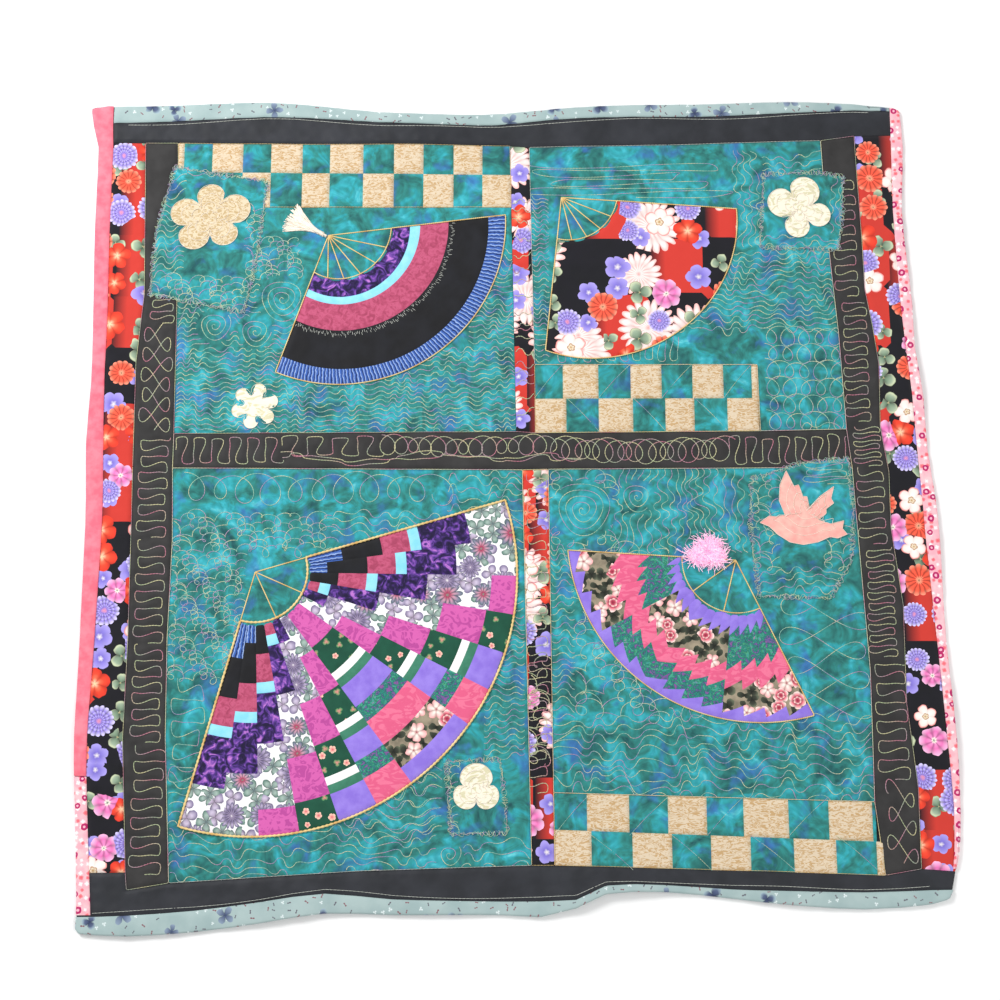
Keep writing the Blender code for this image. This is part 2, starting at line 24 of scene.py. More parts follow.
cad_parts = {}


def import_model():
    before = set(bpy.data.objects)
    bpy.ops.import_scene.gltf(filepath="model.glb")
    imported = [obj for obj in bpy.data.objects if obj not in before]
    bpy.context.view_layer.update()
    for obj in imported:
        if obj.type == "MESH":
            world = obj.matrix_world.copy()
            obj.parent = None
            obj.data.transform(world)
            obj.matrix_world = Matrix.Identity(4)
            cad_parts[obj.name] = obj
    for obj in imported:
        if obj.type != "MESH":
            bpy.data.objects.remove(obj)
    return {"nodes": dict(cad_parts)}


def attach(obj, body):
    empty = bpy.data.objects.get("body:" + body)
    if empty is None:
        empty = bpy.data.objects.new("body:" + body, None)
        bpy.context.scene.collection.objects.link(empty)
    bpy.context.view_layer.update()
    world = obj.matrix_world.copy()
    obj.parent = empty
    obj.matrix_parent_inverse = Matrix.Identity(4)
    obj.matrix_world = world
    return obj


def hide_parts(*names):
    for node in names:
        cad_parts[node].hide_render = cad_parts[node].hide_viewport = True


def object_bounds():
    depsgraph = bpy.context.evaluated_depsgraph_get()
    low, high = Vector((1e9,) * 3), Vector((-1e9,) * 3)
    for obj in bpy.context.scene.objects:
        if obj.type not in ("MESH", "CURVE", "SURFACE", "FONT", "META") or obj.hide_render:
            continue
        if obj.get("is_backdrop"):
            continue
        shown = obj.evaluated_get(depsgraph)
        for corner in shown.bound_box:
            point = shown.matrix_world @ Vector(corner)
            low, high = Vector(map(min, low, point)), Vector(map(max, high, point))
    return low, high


LOG = logging.getLogger("fan_quilt")
Array = np.ndarray
Stops = tuple[tuple[float, str], ...]
MM = 0.001
BODY = "root"

# Heights above the form that all the cloths follow, in millimetres.
BACKING_LEVEL = 0.3
TOP_LEVEL = 4.0
APPLIQUE_RISE = 0.9
ON_PATCH_RISE = APPLIQUE_RISE + 2.0
UNDER_BINDING = 2.6

# How the wadding shows: the puff between sewn lines, and the dips at them and at seams.
PUFF = 1.7
PUFF_REACH = 4.6
SEAM_DIP = 1.1
SEAM_REACH = 2.4

# Spacing of points along sewn lines, and of the cloths' triangles, the smallest on motifs.
PATH_STEP = 2.0
CLOTH_PITCH = 3.5
FINE_PITCH = 2.8
MOTIF_PITCH = 2.0


def linear(code: str) -> tuple[float, float, float, float]:
    """Turns an sRGB hex code to a linear colour.

    Args:
        code: the colour, such as "#1B6F70".

    Returns:
        Red, green, blue and an alpha of 1.
    """
    parts = [int(code[i:i + 2], 16) / 255 for i in (1, 3, 5)]
    red, green, blue = (p / 12.92 if p <= 0.04045 else ((p + 0.055) / 1.055) ** 2.4 for p in parts)
    return red, green, blue, 1.0


def add(tree: NodeTree, kind: str, links: dict[str | int, Any] | None = None,
        stops: Sequence[tuple[float, str]] = (), **settings: Any) -> Node:
    """Adds a node with its settings and links.

    Args:
        tree: the node tree.
        kind: the node's type.
        links: by an input's name or number, a socket, a node, a value or a hex colour.
        stops: a colour ramp's places and hex colours.
        settings: the node's own properties.

    Returns:
        The node.
    """
    node = tree.nodes.new(kind)
    for name, value in settings.items():
        setattr(node, name, value)
    if stops:
        elements = node.color_ramp.elements
        while len(elements) < len(stops):
            elements.new(1.0)
        for element, (place, code) in zip(elements, stops):
            element.position = place
            element.color = linear(code)
    for key, value in (links or {}).items():
        if isinstance(key, int):
            socket = [s for s in node.inputs if s.enabled][key]
        else:
            socket = next(s for s in node.inputs if s.enabled and s.name == key)
        if isinstance(value, Node):
            value = next(s for s in value.outputs if s.enabled)
        if isinstance(value, NodeSocket):
            tree.links.new(value, socket)
        elif isinstance(value, str) and value.startswith("#"):
            socket.default_value = linear(value)
        else:
            socket.default_value = value
    return node


def scale_of(size_mm: float) -> float:
    """A pattern's scale, from its real size in millimetres."""
    return 1.0 / (size_mm * MM)


@dataclass(frozen=True)
class Material:
    """What every finish of the quilt shares.

    Attributes:
        name: what the finish is.
    """

    name: str

    def shader(self, tree: NodeTree) -> Node:
        """Adds the finish's nodes and gives back its shader."""
        raise NotImplementedError

    def build(self) -> bpy.types.Material:
        """Makes the material once, and gives it back after that."""
        made = bpy.data.materials.get(self.name)
        if made is None:
            made = bpy.data.materials.new(self.name)
            made.use_nodes = True
            made.node_tree.nodes.clear()
            add(made.node_tree, "ShaderNodeOutputMaterial", {"Surface": self.shader(made.node_tree)})
        return made


@dataclass(frozen=True)
class Cotton(Material):
    """Plain-woven cotton: matt, with soft clouding and a grain that breaks up the light.

    Attributes:
        base: its main colour.
        other: the colour that it is clouded with.
        cloud_mm: the size of the clouds.
        roughness: 0.8 and more for cotton, less where it is polished.
        sheen: the fibres' soft shine at a low angle.
        grain_mm: thread spacing, drawn coarse enough to show a step away.
        grain: how far the grain stands up, in millimetres.
    """

    base: str = ""
    other: str = ""
    cloud_mm: float = 22.0
    roughness: float = 0.85
    sheen: float = 0.2
    grain_mm: float = 1.7
    grain: float = 0.25

    def place(self, tree: NodeTree) -> NodeSocket:
        """The place on the cloth, in metres."""
        return add(tree, "ShaderNodeTexCoord").outputs["Object"]

    def colour(self, tree: NodeTree, place: Any) -> Node:
        """The cloth's colour, as a node whose first output gives it."""
        cloud = add(tree, "ShaderNodeTexNoise", {
            "Vector": place, "Scale": scale_of(self.cloud_mm), "Detail": 4.0})
        return add(tree, "ShaderNodeValToRGB", {"Fac": cloud},
                   stops=((0.36, self.base), (0.64, self.other)))

    def shader(self, tree: NodeTree) -> Node:
        """The cloth's colour, with a grain of threads and a soft sheen."""
        place = self.place(tree)
        grain = add(tree, "ShaderNodeTexNoise", {
            "Vector": place, "Scale": scale_of(self.grain_mm), "Detail": 2.0})
        raised = add(tree, "ShaderNodeBump", {
            "Height": grain, "Strength": 0.6, "Distance": self.grain * MM})
        return add(tree, "ShaderNodeBsdfPrincipled", {
            "Base Color": self.colour(tree, place), "Roughness": self.roughness,
            "Specular IOR Level": 0.25, "Sheen Weight": self.sheen, "Sheen Roughness": 0.5,
            "Normal": raised})


@dataclass(frozen=True)
class Mottled(Cotton):
    """Cotton with ragged patches of several tones, as a painterly print or a marbling has.

    Attributes:
        tones: the ramp through the tones.
        swirl: how strongly the patches are drawn out into swirls.
        detail: how ragged their edges are.
    """

    tones: Stops = ()
    swirl: float = 1.0
    detail: float = 3.0

    def colour(self, tree: NodeTree, place: Any) -> Node:
        """Patches of tone from one warped noise."""
        patch = add(tree, "ShaderNodeTexNoise", {
            "Vector": place, "Scale": scale_of(self.cloud_mm), "Detail": self.detail,
            "Distortion": self.swirl})
        return add(tree, "ShaderNodeValToRGB", {"Fac": patch}, stops=self.tones)


@dataclass(frozen=True)
class Batik(Cotton):
    """Batik cotton: dye in soft-edged pools of several colours, with wax-resist swirls.

    Attributes:
        pools: the ramp from the deepest to the palest pool.
        spots: the colour of the odd spots.
        swirl_mm: spacing of the rose-like swirls.
    """

    pools: Stops = ()
    spots: str = "#3C6CB6"
    swirl_mm: float = 40.0

    def colour(self, tree: NodeTree, place: Any) -> Node:
        """Pools of dye, blue spots, and swirls that darken them a little."""
        pool = add(tree, "ShaderNodeTexNoise", {
            "Vector": place, "Scale": scale_of(self.cloud_mm), "Detail": 5.0,
            "Roughness": 0.6, "Distortion": 0.9})
        dye = add(tree, "ShaderNodeValToRGB", {"Fac": pool}, stops=self.pools)
        spot = add(tree, "ShaderNodeTexNoise", {
            "Vector": place, "Scale": 1.1 * scale_of(self.cloud_mm), "Detail": 4.0,
            "Distortion": 0.6, "W": 3.7}, noise_dimensions="4D")
        spotted = add(tree, "ShaderNodeMapRange", {
            "Value": spot, "From Min": 0.54, "From Max": 0.7, "To Max": 0.75})
        dyed = add(tree, "ShaderNodeMix", {"Factor": spotted, "A": dye, "B": self.spots},
                   data_type="RGBA")
        flat = add(tree, "ShaderNodeMapping", {
            "Vector": place, "Scale": (scale_of(self.swirl_mm),) * 2 + (0.0,)})
        cell = add(tree, "ShaderNodeTexVoronoi", {
            "Vector": flat, "Scale": 1.0, "Randomness": 0.9}, voronoi_dimensions="2D")
        warp = add(tree, "ShaderNodeMath", {0: pool, 1: 11.0}, operation="MULTIPLY")
        ring = add(tree, "ShaderNodeMath", {
            0: cell.outputs["Distance"], 1: 22.0, 2: warp}, operation="MULTIPLY_ADD")
        wave = add(tree, "ShaderNodeMath", {0: ring}, operation="SINE")
        shade = add(tree, "ShaderNodeMapRange", {
            "Value": wave, "From Min": -1.0, "To Min": 0.88, "To Max": 1.08})
        return add(tree, "ShaderNodeVectorMath", {
            0: dyed, "Scale": shade}, operation="SCALE")


@dataclass(frozen=True)
class Squiggle(Cotton):
    """Cotton printed with a close, worm-like squiggle in two tones.

    Attributes:
        line_mm: how far apart the squiggles are.
        stretch: how much longer they run one way than the other.
        mark: how much of the cloth the second tone takes, from 0 to 1.
    """

    line_mm: float = 5.0
    stretch: float = 0.55
    mark: float = 0.5

    def colour(self, tree: NodeTree, place: Any) -> Node:
        """Contour lines of a noise, which wander like worm tracks."""
        scale = scale_of(self.line_mm)
        scaled = add(tree, "ShaderNodeMapping", {
            "Vector": place, "Scale": (self.stretch * scale, scale, 0.0)})
        noise = add(tree, "ShaderNodeTexNoise", {
            "Vector": scaled, "Scale": 0.6, "Detail": 2.0, "Distortion": 1.2})
        ring = add(tree, "ShaderNodeMath", {0: noise, 1: 22.0}, operation="MULTIPLY")
        wave = add(tree, "ShaderNodeMath", {0: ring}, operation="SINE")
        edge = 1.0 - 2.0 * self.mark
        factor = add(tree, "ShaderNodeMapRange", {
            "Value": wave, "From Min": edge - 0.35, "From Max": edge + 0.35})
        return add(tree, "ShaderNodeMix", {"Factor": factor, "A": self.base, "B": self.other},
                   data_type="RGBA")


@dataclass(frozen=True)
class Bloom:
    """One kind of printed flower, leaf or ring, by its outline round a middle.

    Attributes:
        petals: how many lobes it has; two make a pair of leaves.
        notch: how deep the outline falls between them, as a share of the radius.
        stops: the ramp from its middle to its rim.
        streak: how strongly each lobe is streaked along its middle.
    """

    petals: int
    notch: float
    stops: Stops
    streak: float = 0.2


@dataclass(frozen=True)
class BloomLayer:
    """One layer of printed motifs, one in each cell of an uneven grid.

    Attributes:
        spacing_mm: the cells' size.
        radius: a motif's radius, as a share of the spacing.
        share: the share of the cells that hold a motif.
        shift: moves the grid, so that layers differ.
        kinds: the motifs, which share the cells evenly.
        random: how far the motifs stray from an even grid.
    """

    spacing_mm: float
    radius: float
    share: float
    shift: float
    kinds: tuple[Bloom, ...]
    random: float = 0.75

    def draw(self, tree: NodeTree, place: Any, under: Any) -> Node:
        """Draws the layer over what lies under it.

        Args:
            tree: the material's tree.
            place: the place on the cloth.
            under: the colour under the layer.

        Returns:
            A node whose first output is the colour.
        """
        scale = scale_of(self.spacing_mm)
        wander = add(tree, "ShaderNodeTexNoise", {
            "Vector": place, "Scale": 5.0 * scale, "Detail": 1.0}).outputs["Color"]
        drawn = add(tree, "ShaderNodeVectorMath", {
            0: wander, 1: (0.09 / scale,) * 3, 2: place}, operation="MULTIPLY_ADD")
        flat = add(tree, "ShaderNodeMapping", {
            "Vector": drawn, "Location": (self.shift, 0.7 * self.shift, 0.0),
            "Scale": (scale, scale, 0.0)})
        cell = add(tree, "ShaderNodeTexVoronoi", {
            "Vector": flat, "Scale": 1.0, "Randomness": self.random}, voronoi_dimensions="2D")
        chance = add(tree, "ShaderNodeSeparateColor", {"Color": cell.outputs["Color"]})
        local = add(tree, "ShaderNodeVectorMath", {0: flat, 1: cell.outputs["Position"]},
                    operation="SUBTRACT")
        axes = add(tree, "ShaderNodeSeparateXYZ", {"Vector": local})
        angle = add(tree, "ShaderNodeMath", {
            0: axes.outputs["Y"], 1: axes.outputs["X"]}, operation="ARCTAN2")
        turned = add(tree, "ShaderNodeMath", {
            0: chance.outputs["Green"], 1: math.tau, 2: angle}, operation="MULTIPLY_ADD")
        far = add(tree, "ShaderNodeVectorMath", {0: local}, operation="LENGTH").outputs["Value"]
        size = add(tree, "ShaderNodeMapRange", {
            "Value": chance.outputs["Blue"], "To Min": 0.7 * self.radius, "To Max": self.radius})
        colour = under
        for number, kind in enumerate(self.kinds):
            low = self.share * number / len(self.kinds)
            high = self.share * (number + 1) / len(self.kinds)
            swing = add(tree, "ShaderNodeMath", {0: turned, 1: 0.5 * kind.petals},
                        operation="MULTIPLY")
            wave = add(tree, "ShaderNodeMath", {0: swing}, operation="COSINE")
            lobe = add(tree, "ShaderNodeMath", {0: wave}, operation="ABSOLUTE")
            full = add(tree, "ShaderNodeMath", {0: lobe, 1: 0.6 if kind.petals > 2 else 2.5},
                       operation="POWER")
            rim = add(tree, "ShaderNodeMath", {0: full, 1: kind.notch, 2: 1.0 - kind.notch},
                      operation="MULTIPLY_ADD")
            reach = add(tree, "ShaderNodeMath", {0: rim, 1: size}, operation="MULTIPLY")
            across = add(tree, "ShaderNodeMath", {0: far, 1: reach}, operation="DIVIDE")
            inside = add(tree, "ShaderNodeMath", {0: across, 1: 1.0}, operation="LESS_THAN")
            above = add(tree, "ShaderNodeMath", {0: chance.outputs["Red"], 1: low},
                        operation="GREATER_THAN")
            below = add(tree, "ShaderNodeMath", {0: chance.outputs["Red"], 1: high},
                        operation="LESS_THAN")
            chosen = add(tree, "ShaderNodeMath", {0: above, 1: below}, operation="MULTIPLY")
            mask = add(tree, "ShaderNodeMath", {0: chosen, 1: inside}, operation="MULTIPLY")
            tint = add(tree, "ShaderNodeValToRGB", {"Fac": across}, stops=kind.stops)
            bright = add(tree, "ShaderNodeMapRange", {
                "Value": lobe, "To Min": 1.0 - kind.streak, "To Max": 1.0 + 0.5 * kind.streak})
            lit = add(tree, "ShaderNodeVectorMath", {0: tint, "Scale": bright}, operation="SCALE")
            colour = add(tree, "ShaderNodeMix", {"Factor": mask, "A": colour, "B": lit},
                         data_type="RGBA")
        return colour


@dataclass(frozen=True)
class PrintedCotton(Cotton):
    """Cotton printed with layers of motifs over a clouded ground.

    Attributes:
        layers: the motifs, the lowest first.
        blocks: the colour of large blocks in the ground, or none.
        block_mm: the blocks' size.
    """

    layers: tuple[BloomLayer, ...] = ()
    blocks: str = ""
    block_mm: float = 92.0

    def colour(self, tree: NodeTree, place: Any) -> Node:
        """The ground, its blocks with one faded side, and the motifs."""
        colour = super().colour(tree, place)
        if self.blocks:
            scale = scale_of(self.block_mm)
            flat = add(tree, "ShaderNodeMapping", {
                "Vector": place, "Location": (0.37, 0.11, 0.0), "Scale": (scale, scale, 0.0)})
            cell = add(tree, "ShaderNodeTexVoronoi", {
                "Vector": flat, "Scale": 1.0, "Randomness": 0.35},
                voronoi_dimensions="2D", distance="CHEBYCHEV")
            chance = add(tree, "ShaderNodeSeparateColor", {"Color": cell.outputs["Color"]})
            chosen = add(tree, "ShaderNodeMath", {0: chance.outputs["Red"], 1: 0.5},
                         operation="GREATER_THAN")
            local = add(tree, "ShaderNodeVectorMath", {0: flat, 1: cell.outputs["Position"]},
                        operation="SUBTRACT")
            axes = add(tree, "ShaderNodeSeparateXYZ", {"Vector": local})
            fade = add(tree, "ShaderNodeMapRange", {
                "Value": axes.outputs["X"], "From Min": -0.5, "From Max": -0.25})
            shown = add(tree, "ShaderNodeMath", {0: chosen, 1: fade}, operation="MULTIPLY")
            colour = add(tree, "ShaderNodeMix", {"Factor": shown, "A": colour, "B": self.blocks},
                         data_type="RGBA")
        for layer in self.layers:
            colour = layer.draw(tree, place, colour)
        return colour


@dataclass(frozen=True)
class RibbedCotton(Cotton):
    """Cotton woven in narrow ribs that run across the strip it is cut to.

    Attributes:
        rib_mm: from one rib to the next.
        line: the colour of the thin line between ribs.
    """

    rib_mm: float = 5.6
    line: str = "#16204A"

    def place(self, tree: NodeTree) -> NodeSocket:
        """The place along and across the strip, in metres, from its own map."""
        return add(tree, "ShaderNodeUVMap", uv_map="UVMap").outputs["UV"]

    def colour(self, tree: NodeTree, place: Any) -> Node:
        """Light and dark ribs with thin lines between, broken up by a noise."""
        axes = add(tree, "ShaderNodeSeparateXYZ", {"Vector": place})
        jitter = add(tree, "ShaderNodeTexNoise", {"Vector": place, "Scale": 150.0, "Detail": 3.0})
        ribs = add(tree, "ShaderNodeMath", {0: axes.outputs["X"], 1: scale_of(self.rib_mm)},
                   operation="MULTIPLY")
        moved = add(tree, "ShaderNodeMath", {0: jitter, 1: 0.9, 2: ribs}, operation="MULTIPLY_ADD")
        rib = add(tree, "ShaderNodeMath", {0: moved}, operation="FRACT")
        return add(tree, "ShaderNodeValToRGB", {"Fac": rib}, stops=(
            (0.0, self.line), (0.14, self.base), (0.45, self.base), (0.58, self.other),
            (0.72, self.base), (0.95, self.line)))


@dataclass(frozen=True)
class SewingThread(Material):
    """Lustrous sewing thread, plain or dyed in stretches along its length.

    Attributes:
        stops: the ramp of one whole repeat of its dye.
        repeat_mm: how long that repeat is.
        roughness: 0.4 to 0.6 for mercerised or rayon thread, more for yarn.
        painted_glow: a painted glow, emission in the dye's own colour that keeps fluff pale where its
            fibres shade each other; 0 for none.
    """

    stops: Stops
    repeat_mm: float = 90.0
    roughness: float = 0.5
    painted_glow: float = 0.0

    def shader(self, tree: NodeTree) -> Node:
        """The dye's repeats along the thread, with a lustre and a painted glow where one is set."""
        along = add(tree, "ShaderNodeAttribute", attribute_name="tone").outputs["Fac"]
        repeats = add(tree, "ShaderNodeMath", {0: along, 1: 1.0 / self.repeat_mm},
                      operation="MULTIPLY")
        share = add(tree, "ShaderNodeMath", {0: repeats}, operation="FRACT")
        dye = add(tree, "ShaderNodeValToRGB", {"Fac": share}, stops=self.stops)
        # The emission is a painted glow in the dye's colour that stands in for light among shaded
        # fibres.
        return add(tree, "ShaderNodeBsdfPrincipled", {
            "Base Color": dye, "Roughness": self.roughness, "Specular IOR Level": 0.4,
            "Sheen Weight": 0.25, "Sheen Roughness": 0.4, "Emission Color": dye,
            "Emission Strength": self.painted_glow})


ORANGE_BLOSSOM = Bloom(5, 0.3, ((0.0, "#F4D9A8"), (0.16, "#F6B292"), (0.36, "#EE6A4C"),
                                (0.6, "#E8472F"), (0.92, "#D93A28")), 0.3)
WHITE_BLOSSOM = Bloom(5, 0.36, ((0.0, "#B58A4A"), (0.16, "#F3E3C8"), (0.24, "#A9733F"),
                                (0.32, "#FBF3EC"), (0.86, "#FBE4DE"), (0.97, "#E58B86")), 0.1)
LILAC_DAISY = Bloom(17, 0.14, ((0.0, "#E88FA6"), (0.12, "#C98FC8"), (0.2, "#8A78CE"),
                               (0.38, "#AB9DE2"), (0.44, "#7A68C0"), (0.62, "#B5A9E6"),
                               (0.68, "#8473C8"), (0.95, "#CBC2F0")), 0.5)
RED_DAISY = Bloom(13, 0.12, ((0.0, "#5A5B3E"), (0.1, "#F3A584"), (0.3, "#E8523C"),
                             (0.75, "#E65A42"), (0.97, "#F08A70")), 0.55)
PINK_BLOSSOM = Bloom(7, 0.2, ((0.0, "#2E5B46"), (0.1, "#F6EEDF"), (0.24, "#E98ABF"),
                              (0.6, "#DE70AE"), (0.97, "#EFB0D4")), 0.4)
GREY_LEAVES = Bloom(3, 0.75, ((0.0, "#C9B78A"), (0.15, "#5F7660"), (0.7, "#8A9C86"),
                              (0.93, "#B9C0A0"), (1.0, "#5A6A50")), 0.7)
PALE_CHRYSANTHEMUM = Bloom(19, 0.3, ((0.0, "#E9A3A0"), (0.14, "#F9E6E2"), (0.5, "#F6CFCB"),
                                     (0.8, "#FBEAE6"), (0.97, "#F2B9B4")), 0.28)
SMALL_LILAC = Bloom(5, 0.3, ((0.0, "#F4EDE4"), (0.3, "#7F72CF"), (0.9, "#A79BE6")), 0.1)


def bloom_print(name: str, blocks: str, shift: float, share: float,
                plumes: float = 0.0) -> PrintedCotton:
    """A large-flowered print: blossoms and daisies over leaves, on a dark ground.

    Args:
        name: what the cloth is.
        blocks: the colour of its large blocks.
        shift: moves the motifs, so that cloths cut from the print differ.
        share: the share of the places that hold a large flower.
        plumes: the share of the large cells that hold a pale chrysanthemum.

    Returns:
        The finish.
    """
    return PrintedCotton(
        name, "#14141A", "#17161E", 30.0, blocks=blocks, layers=(
            BloomLayer(86.0, 0.56, plumes, shift + 2.6, (PALE_CHRYSANTHEMUM,)),
            BloomLayer(43.0, 0.48, 0.55, shift + 5.3, (GREY_LEAVES, SMALL_LILAC)),
            BloomLayer(47.0, 0.52, share, shift, (
                ORANGE_BLOSSOM, LILAC_DAISY, WHITE_BLOSSOM, RED_DAISY, PINK_BLOSSOM)),
        ))


class Finish:
    """Every finish of the quilt, by what it is."""

    teal = Batik("teal_batik_cotton", cloud_mm=38.0, pools=(
        (0.30, "#1B5256"), (0.42, "#2A736E"), (0.50, "#2F8884"), (0.57, "#2C9AA2"),
        (0.65, "#3BACBA"), (0.74, "#68C8CE")))
    charcoal = Cotton("charcoal_polished_cotton", "#24262B", "#2E3036", 40.0, 0.6, 0.12)
    sashing = Cotton("charcoal_sashing_cotton", "#2D2C2C", "#373636", 30.0, 0.75, 0.1)
    backing = Cotton("charcoal_backing_cotton", "#26282D", "#2E3036", 60.0)
    tan = Squiggle("tan_squiggle_cotton", "#DBC9AE", "#C2A072", line_mm=2.7, stretch=0.4,
                   mark=0.45)
    flowers_left = bloom_print("large_flower_print_left", "#CC3A30", 1.9, 0.9)
    flowers_right = bloom_print("large_flower_print_right", "#CC3A30", 7.4, 0.92)
    flowers_fan = bloom_print("large_flower_print_fan", "#D03A30", 13.1, 0.5, 0.5)
    flowers_strip = bloom_print("large_flower_print_strip", "#D03A30", 23.6, 0.4, 0.8)
    blue_grey = PrintedCotton(
        "blue_grey_brushed_print", "#9AB0B0", "#A8BCBB", 40.0, layers=(
            BloomLayer(11.0, 0.3, 0.5, 6.4, (
                Bloom(2, 0.9, ((0.0, "#4A5568"), (0.97, "#6A6468")), 0.3),
                Bloom(3, 0.8, ((0.0, "#D8E4E4"), (0.97, "#C4D2D2")), 0.3),
                Bloom(2, 0.93, ((0.0, "#8C5A60"), (0.97, "#7A5A60")), 0.3),)),
            BloomLayer(37.0, 0.4, 0.4, 3.1, (
                Bloom(3, 0.85, ((0.0, "#2F3A5A"), (0.6, "#4E5A76"), (0.97, "#8FA4AE")), 0.5),
                Bloom(4, 0.93, ((0.0, "#3A4668"), (0.97, "#7C8CA0")), 0.5),)),
        ))
    coral = Cotton("coral_pink_cotton", "#EE6C80", "#F68696", 14.0, sheen=0.1)
    pink_print = PrintedCotton(
        "pink_small_flower_print", "#F5AEBB", "#F9C8CD", 12.0, layers=(
            BloomLayer(9.0, 0.42, 0.8, 2.2, (
                Bloom(4, 0.3, ((0.0, "#FFFFFF"), (0.9, "#FBD9DC")), 0.1),
                Bloom(4, 0.3, ((0.0, "#F05A6A"), (0.9, "#F58B93")), 0.1),)),
            BloomLayer(24.0, 0.24, 0.85, 8.0, (
                Bloom(8, 0.06, ((0.0, "#F8C6D2"), (0.36, "#F3A8BE"), (0.46, "#B01C5E"),
                                (0.97, "#C22A6C")), 0.1),)),
        ))
    purple = Mottled("purple_marbled_cotton", cloud_mm=13.0, swirl=1.4, tones=(
        (0.36, "#1A1236"), (0.46, "#301E54"), (0.53, "#523486"), (0.6, "#7E4CAC"),
        (0.68, "#C47CCE"), (0.76, "#8E58BA")))
    light_blue = Cotton("light_blue_cotton", "#86D6EE", "#9ADFF2", 12.0)
    mauve = Mottled("mauve_red_mottled_cotton", cloud_mm=9.0, tones=(
        (0.35, "#A2405E"), (0.48, "#B44C6C"), (0.6, "#C45A7C"), (0.7, "#AA4664")))
    black = Cotton("black_cotton", "#101014", "#18191F", 30.0, 0.7, 0.12)
    blue_rib = RibbedCotton("blue_ribbed_cotton", "#3E64B4", "#B6CDEC")
    leaf_print = PrintedCotton(
        "white_leaf_print", "#EFECEF", "#F8F6F8", 20.0, layers=(
            BloomLayer(23.0, 0.78, 1.0, 4.4, (
                Bloom(3, 0.9, ((0.0, "#8A7A90"), (0.5, "#B5AABF"), (0.96, "#6E6484")), 0.7),
                Bloom(4, 0.93, ((0.0, "#5F6E72"), (0.6, "#8FA39A"), (0.96, "#4D6B62")), 0.7),)),
            BloomLayer(44.0, 0.52, 0.85, 1.3, (
                Bloom(15, 0.4, ((0.0, "#F4F0F0"), (0.12, "#9A8BA8"), (0.5, "#6F6485"),
                                (0.75, "#A79BB6"), (0.97, "#5F5B78")), 0.6),
                Bloom(11, 0.5, ((0.0, "#7E9488"), (0.16, "#A93A5C"), (0.45, "#B88A9C"),
                                (0.8, "#75788C"), (0.97, "#4F5F66")), 0.6),)),
        ))
    magenta = Squiggle("magenta_tonal_cotton", "#D460AC", "#B84A98", line_mm=9.0, stretch=0.9,
                       mark=0.4)
    dark_green = PrintedCotton(
        "dark_green_flower_print", "#164A38", "#1B5440", 20.0, layers=(
            BloomLayer(19.0, 0.3, 0.75, 1.4, (
                Bloom(5, 0.3, ((0.0, "#D2566A"), (0.5, "#F3A79C"), (0.97, "#F7CDB8")), 0.2),
                Bloom(3, 0.5, ((0.0, "#E78F8C"), (0.9, "#4E8B5A")), 0.2),)),
        ))
    white = Cotton("white_cotton", "#F4F2EE", "#FFFFFF", 12.0)
    green = Cotton("sea_green_cotton", "#38775F", "#42846B", 12.0)
    lilac = Cotton("lilac_cotton", "#8A70D6", "#9A82E2", 16.0)
    sea_print = Mottled("sea_green_painterly_print", cloud_mm=10.0, swirl=2.0, tones=(
        (0.33, "#8A5494"), (0.4, "#5C5A92"), (0.45, "#1D5A50"), (0.5, "#2F8C84"),
        (0.55, "#1F6A58"), (0.6, "#4CA57C"), (0.66, "#2A8F98"), (0.72, "#B06A9C")))
    rose_pink = Squiggle("rose_pink_cotton", "#E05E86", "#EA7496", line_mm=9.0, mark=0.5)
    rose_print = PrintedCotton(
        "olive_rose_print", "#A39680", "#7E7564", 12.0, layers=(
            BloomLayer(18.0, 0.8, 0.92, 9.3, (
                Bloom(3, 0.7, ((0.0, "#1B1D18"), (0.6, "#34382E"), (0.96, "#5C6350")), 0.6),
                Bloom(2, 0.8, ((0.0, "#12140E"), (0.96, "#3C4236")), 0.6),)),
            BloomLayer(27.0, 0.56, 0.7, 3.3, (
                Bloom(6, 0.2, ((0.0, "#8E2238"), (0.25, "#C24A62"), (0.42, "#F3CFC8"),
                               (0.5, "#A8324C"), (0.68, "#E6828E"), (0.97, "#F6DAD2")), 0.4),
                Bloom(5, 0.4, ((0.0, "#A3283E"), (0.3, "#F2E4DA"), (0.97, "#E9A6A6")), 0.4),)),
        ))
    cream = Squiggle("cream_textured_cotton", "#F2EBD8", "#D9D3B0", line_mm=7.0, mark=0.35)
    warm_cream = Squiggle("tan_cream_cotton", "#DCCCAE", "#C0A67A", line_mm=3.2, mark=0.5)
    soft_pink = Cotton("soft_pink_cotton", "#EFA79E", "#F6BDB0", 12.0)
    variegated = SewingThread("variegated_quilting_thread", (
        (0.0, "#D6D6B0"), (0.16, "#A6CFB0"), (0.3, "#7FBDB0"), (0.44, "#BFC2B4"),
        (0.56, "#BC98BC"), (0.7, "#8E94BC"), (0.84, "#A6C8C0"), (1.0, "#D6D6B0")))
    sash_thread = SewingThread("warm_variegated_thread", (
        (0.0, "#D8CFA0"), (0.2, "#B5C49A"), (0.38, "#C9B7A0"), (0.55, "#C8788F"),
        (0.7, "#B896A2"), (0.85, "#A6B49C"), (1.0, "#D8CFA0")), 130.0)
    gold = SewingThread("gold_rayon_thread", (
        (0.0, "#E2C27A"), (0.5, "#F0D492"), (1.0, "#D9A95E")), 60.0, 0.4)
    pale = SewingThread("pale_grey_thread", ((0.0, "#DADCD4"), (1.0, "#C2C6BC")), 60.0)
    cream_silk = SewingThread("cream_tassel_thread", ((0.0, "#FFF5E8"), (1.0, "#EEDFCC")), 23.0, 0.4)
    # The yarn's last value, 0.3, is a painted glow that keeps its self-shaded fluff pale.
    yarn = SewingThread("pink_mohair_yarn", (
        (0.0, "#FFE6F2"), (0.4, "#FFBEE0"), (0.6, "#F9AAD6"), (1.0, "#FFEAF4")), 15.0, 0.95, 0.3)


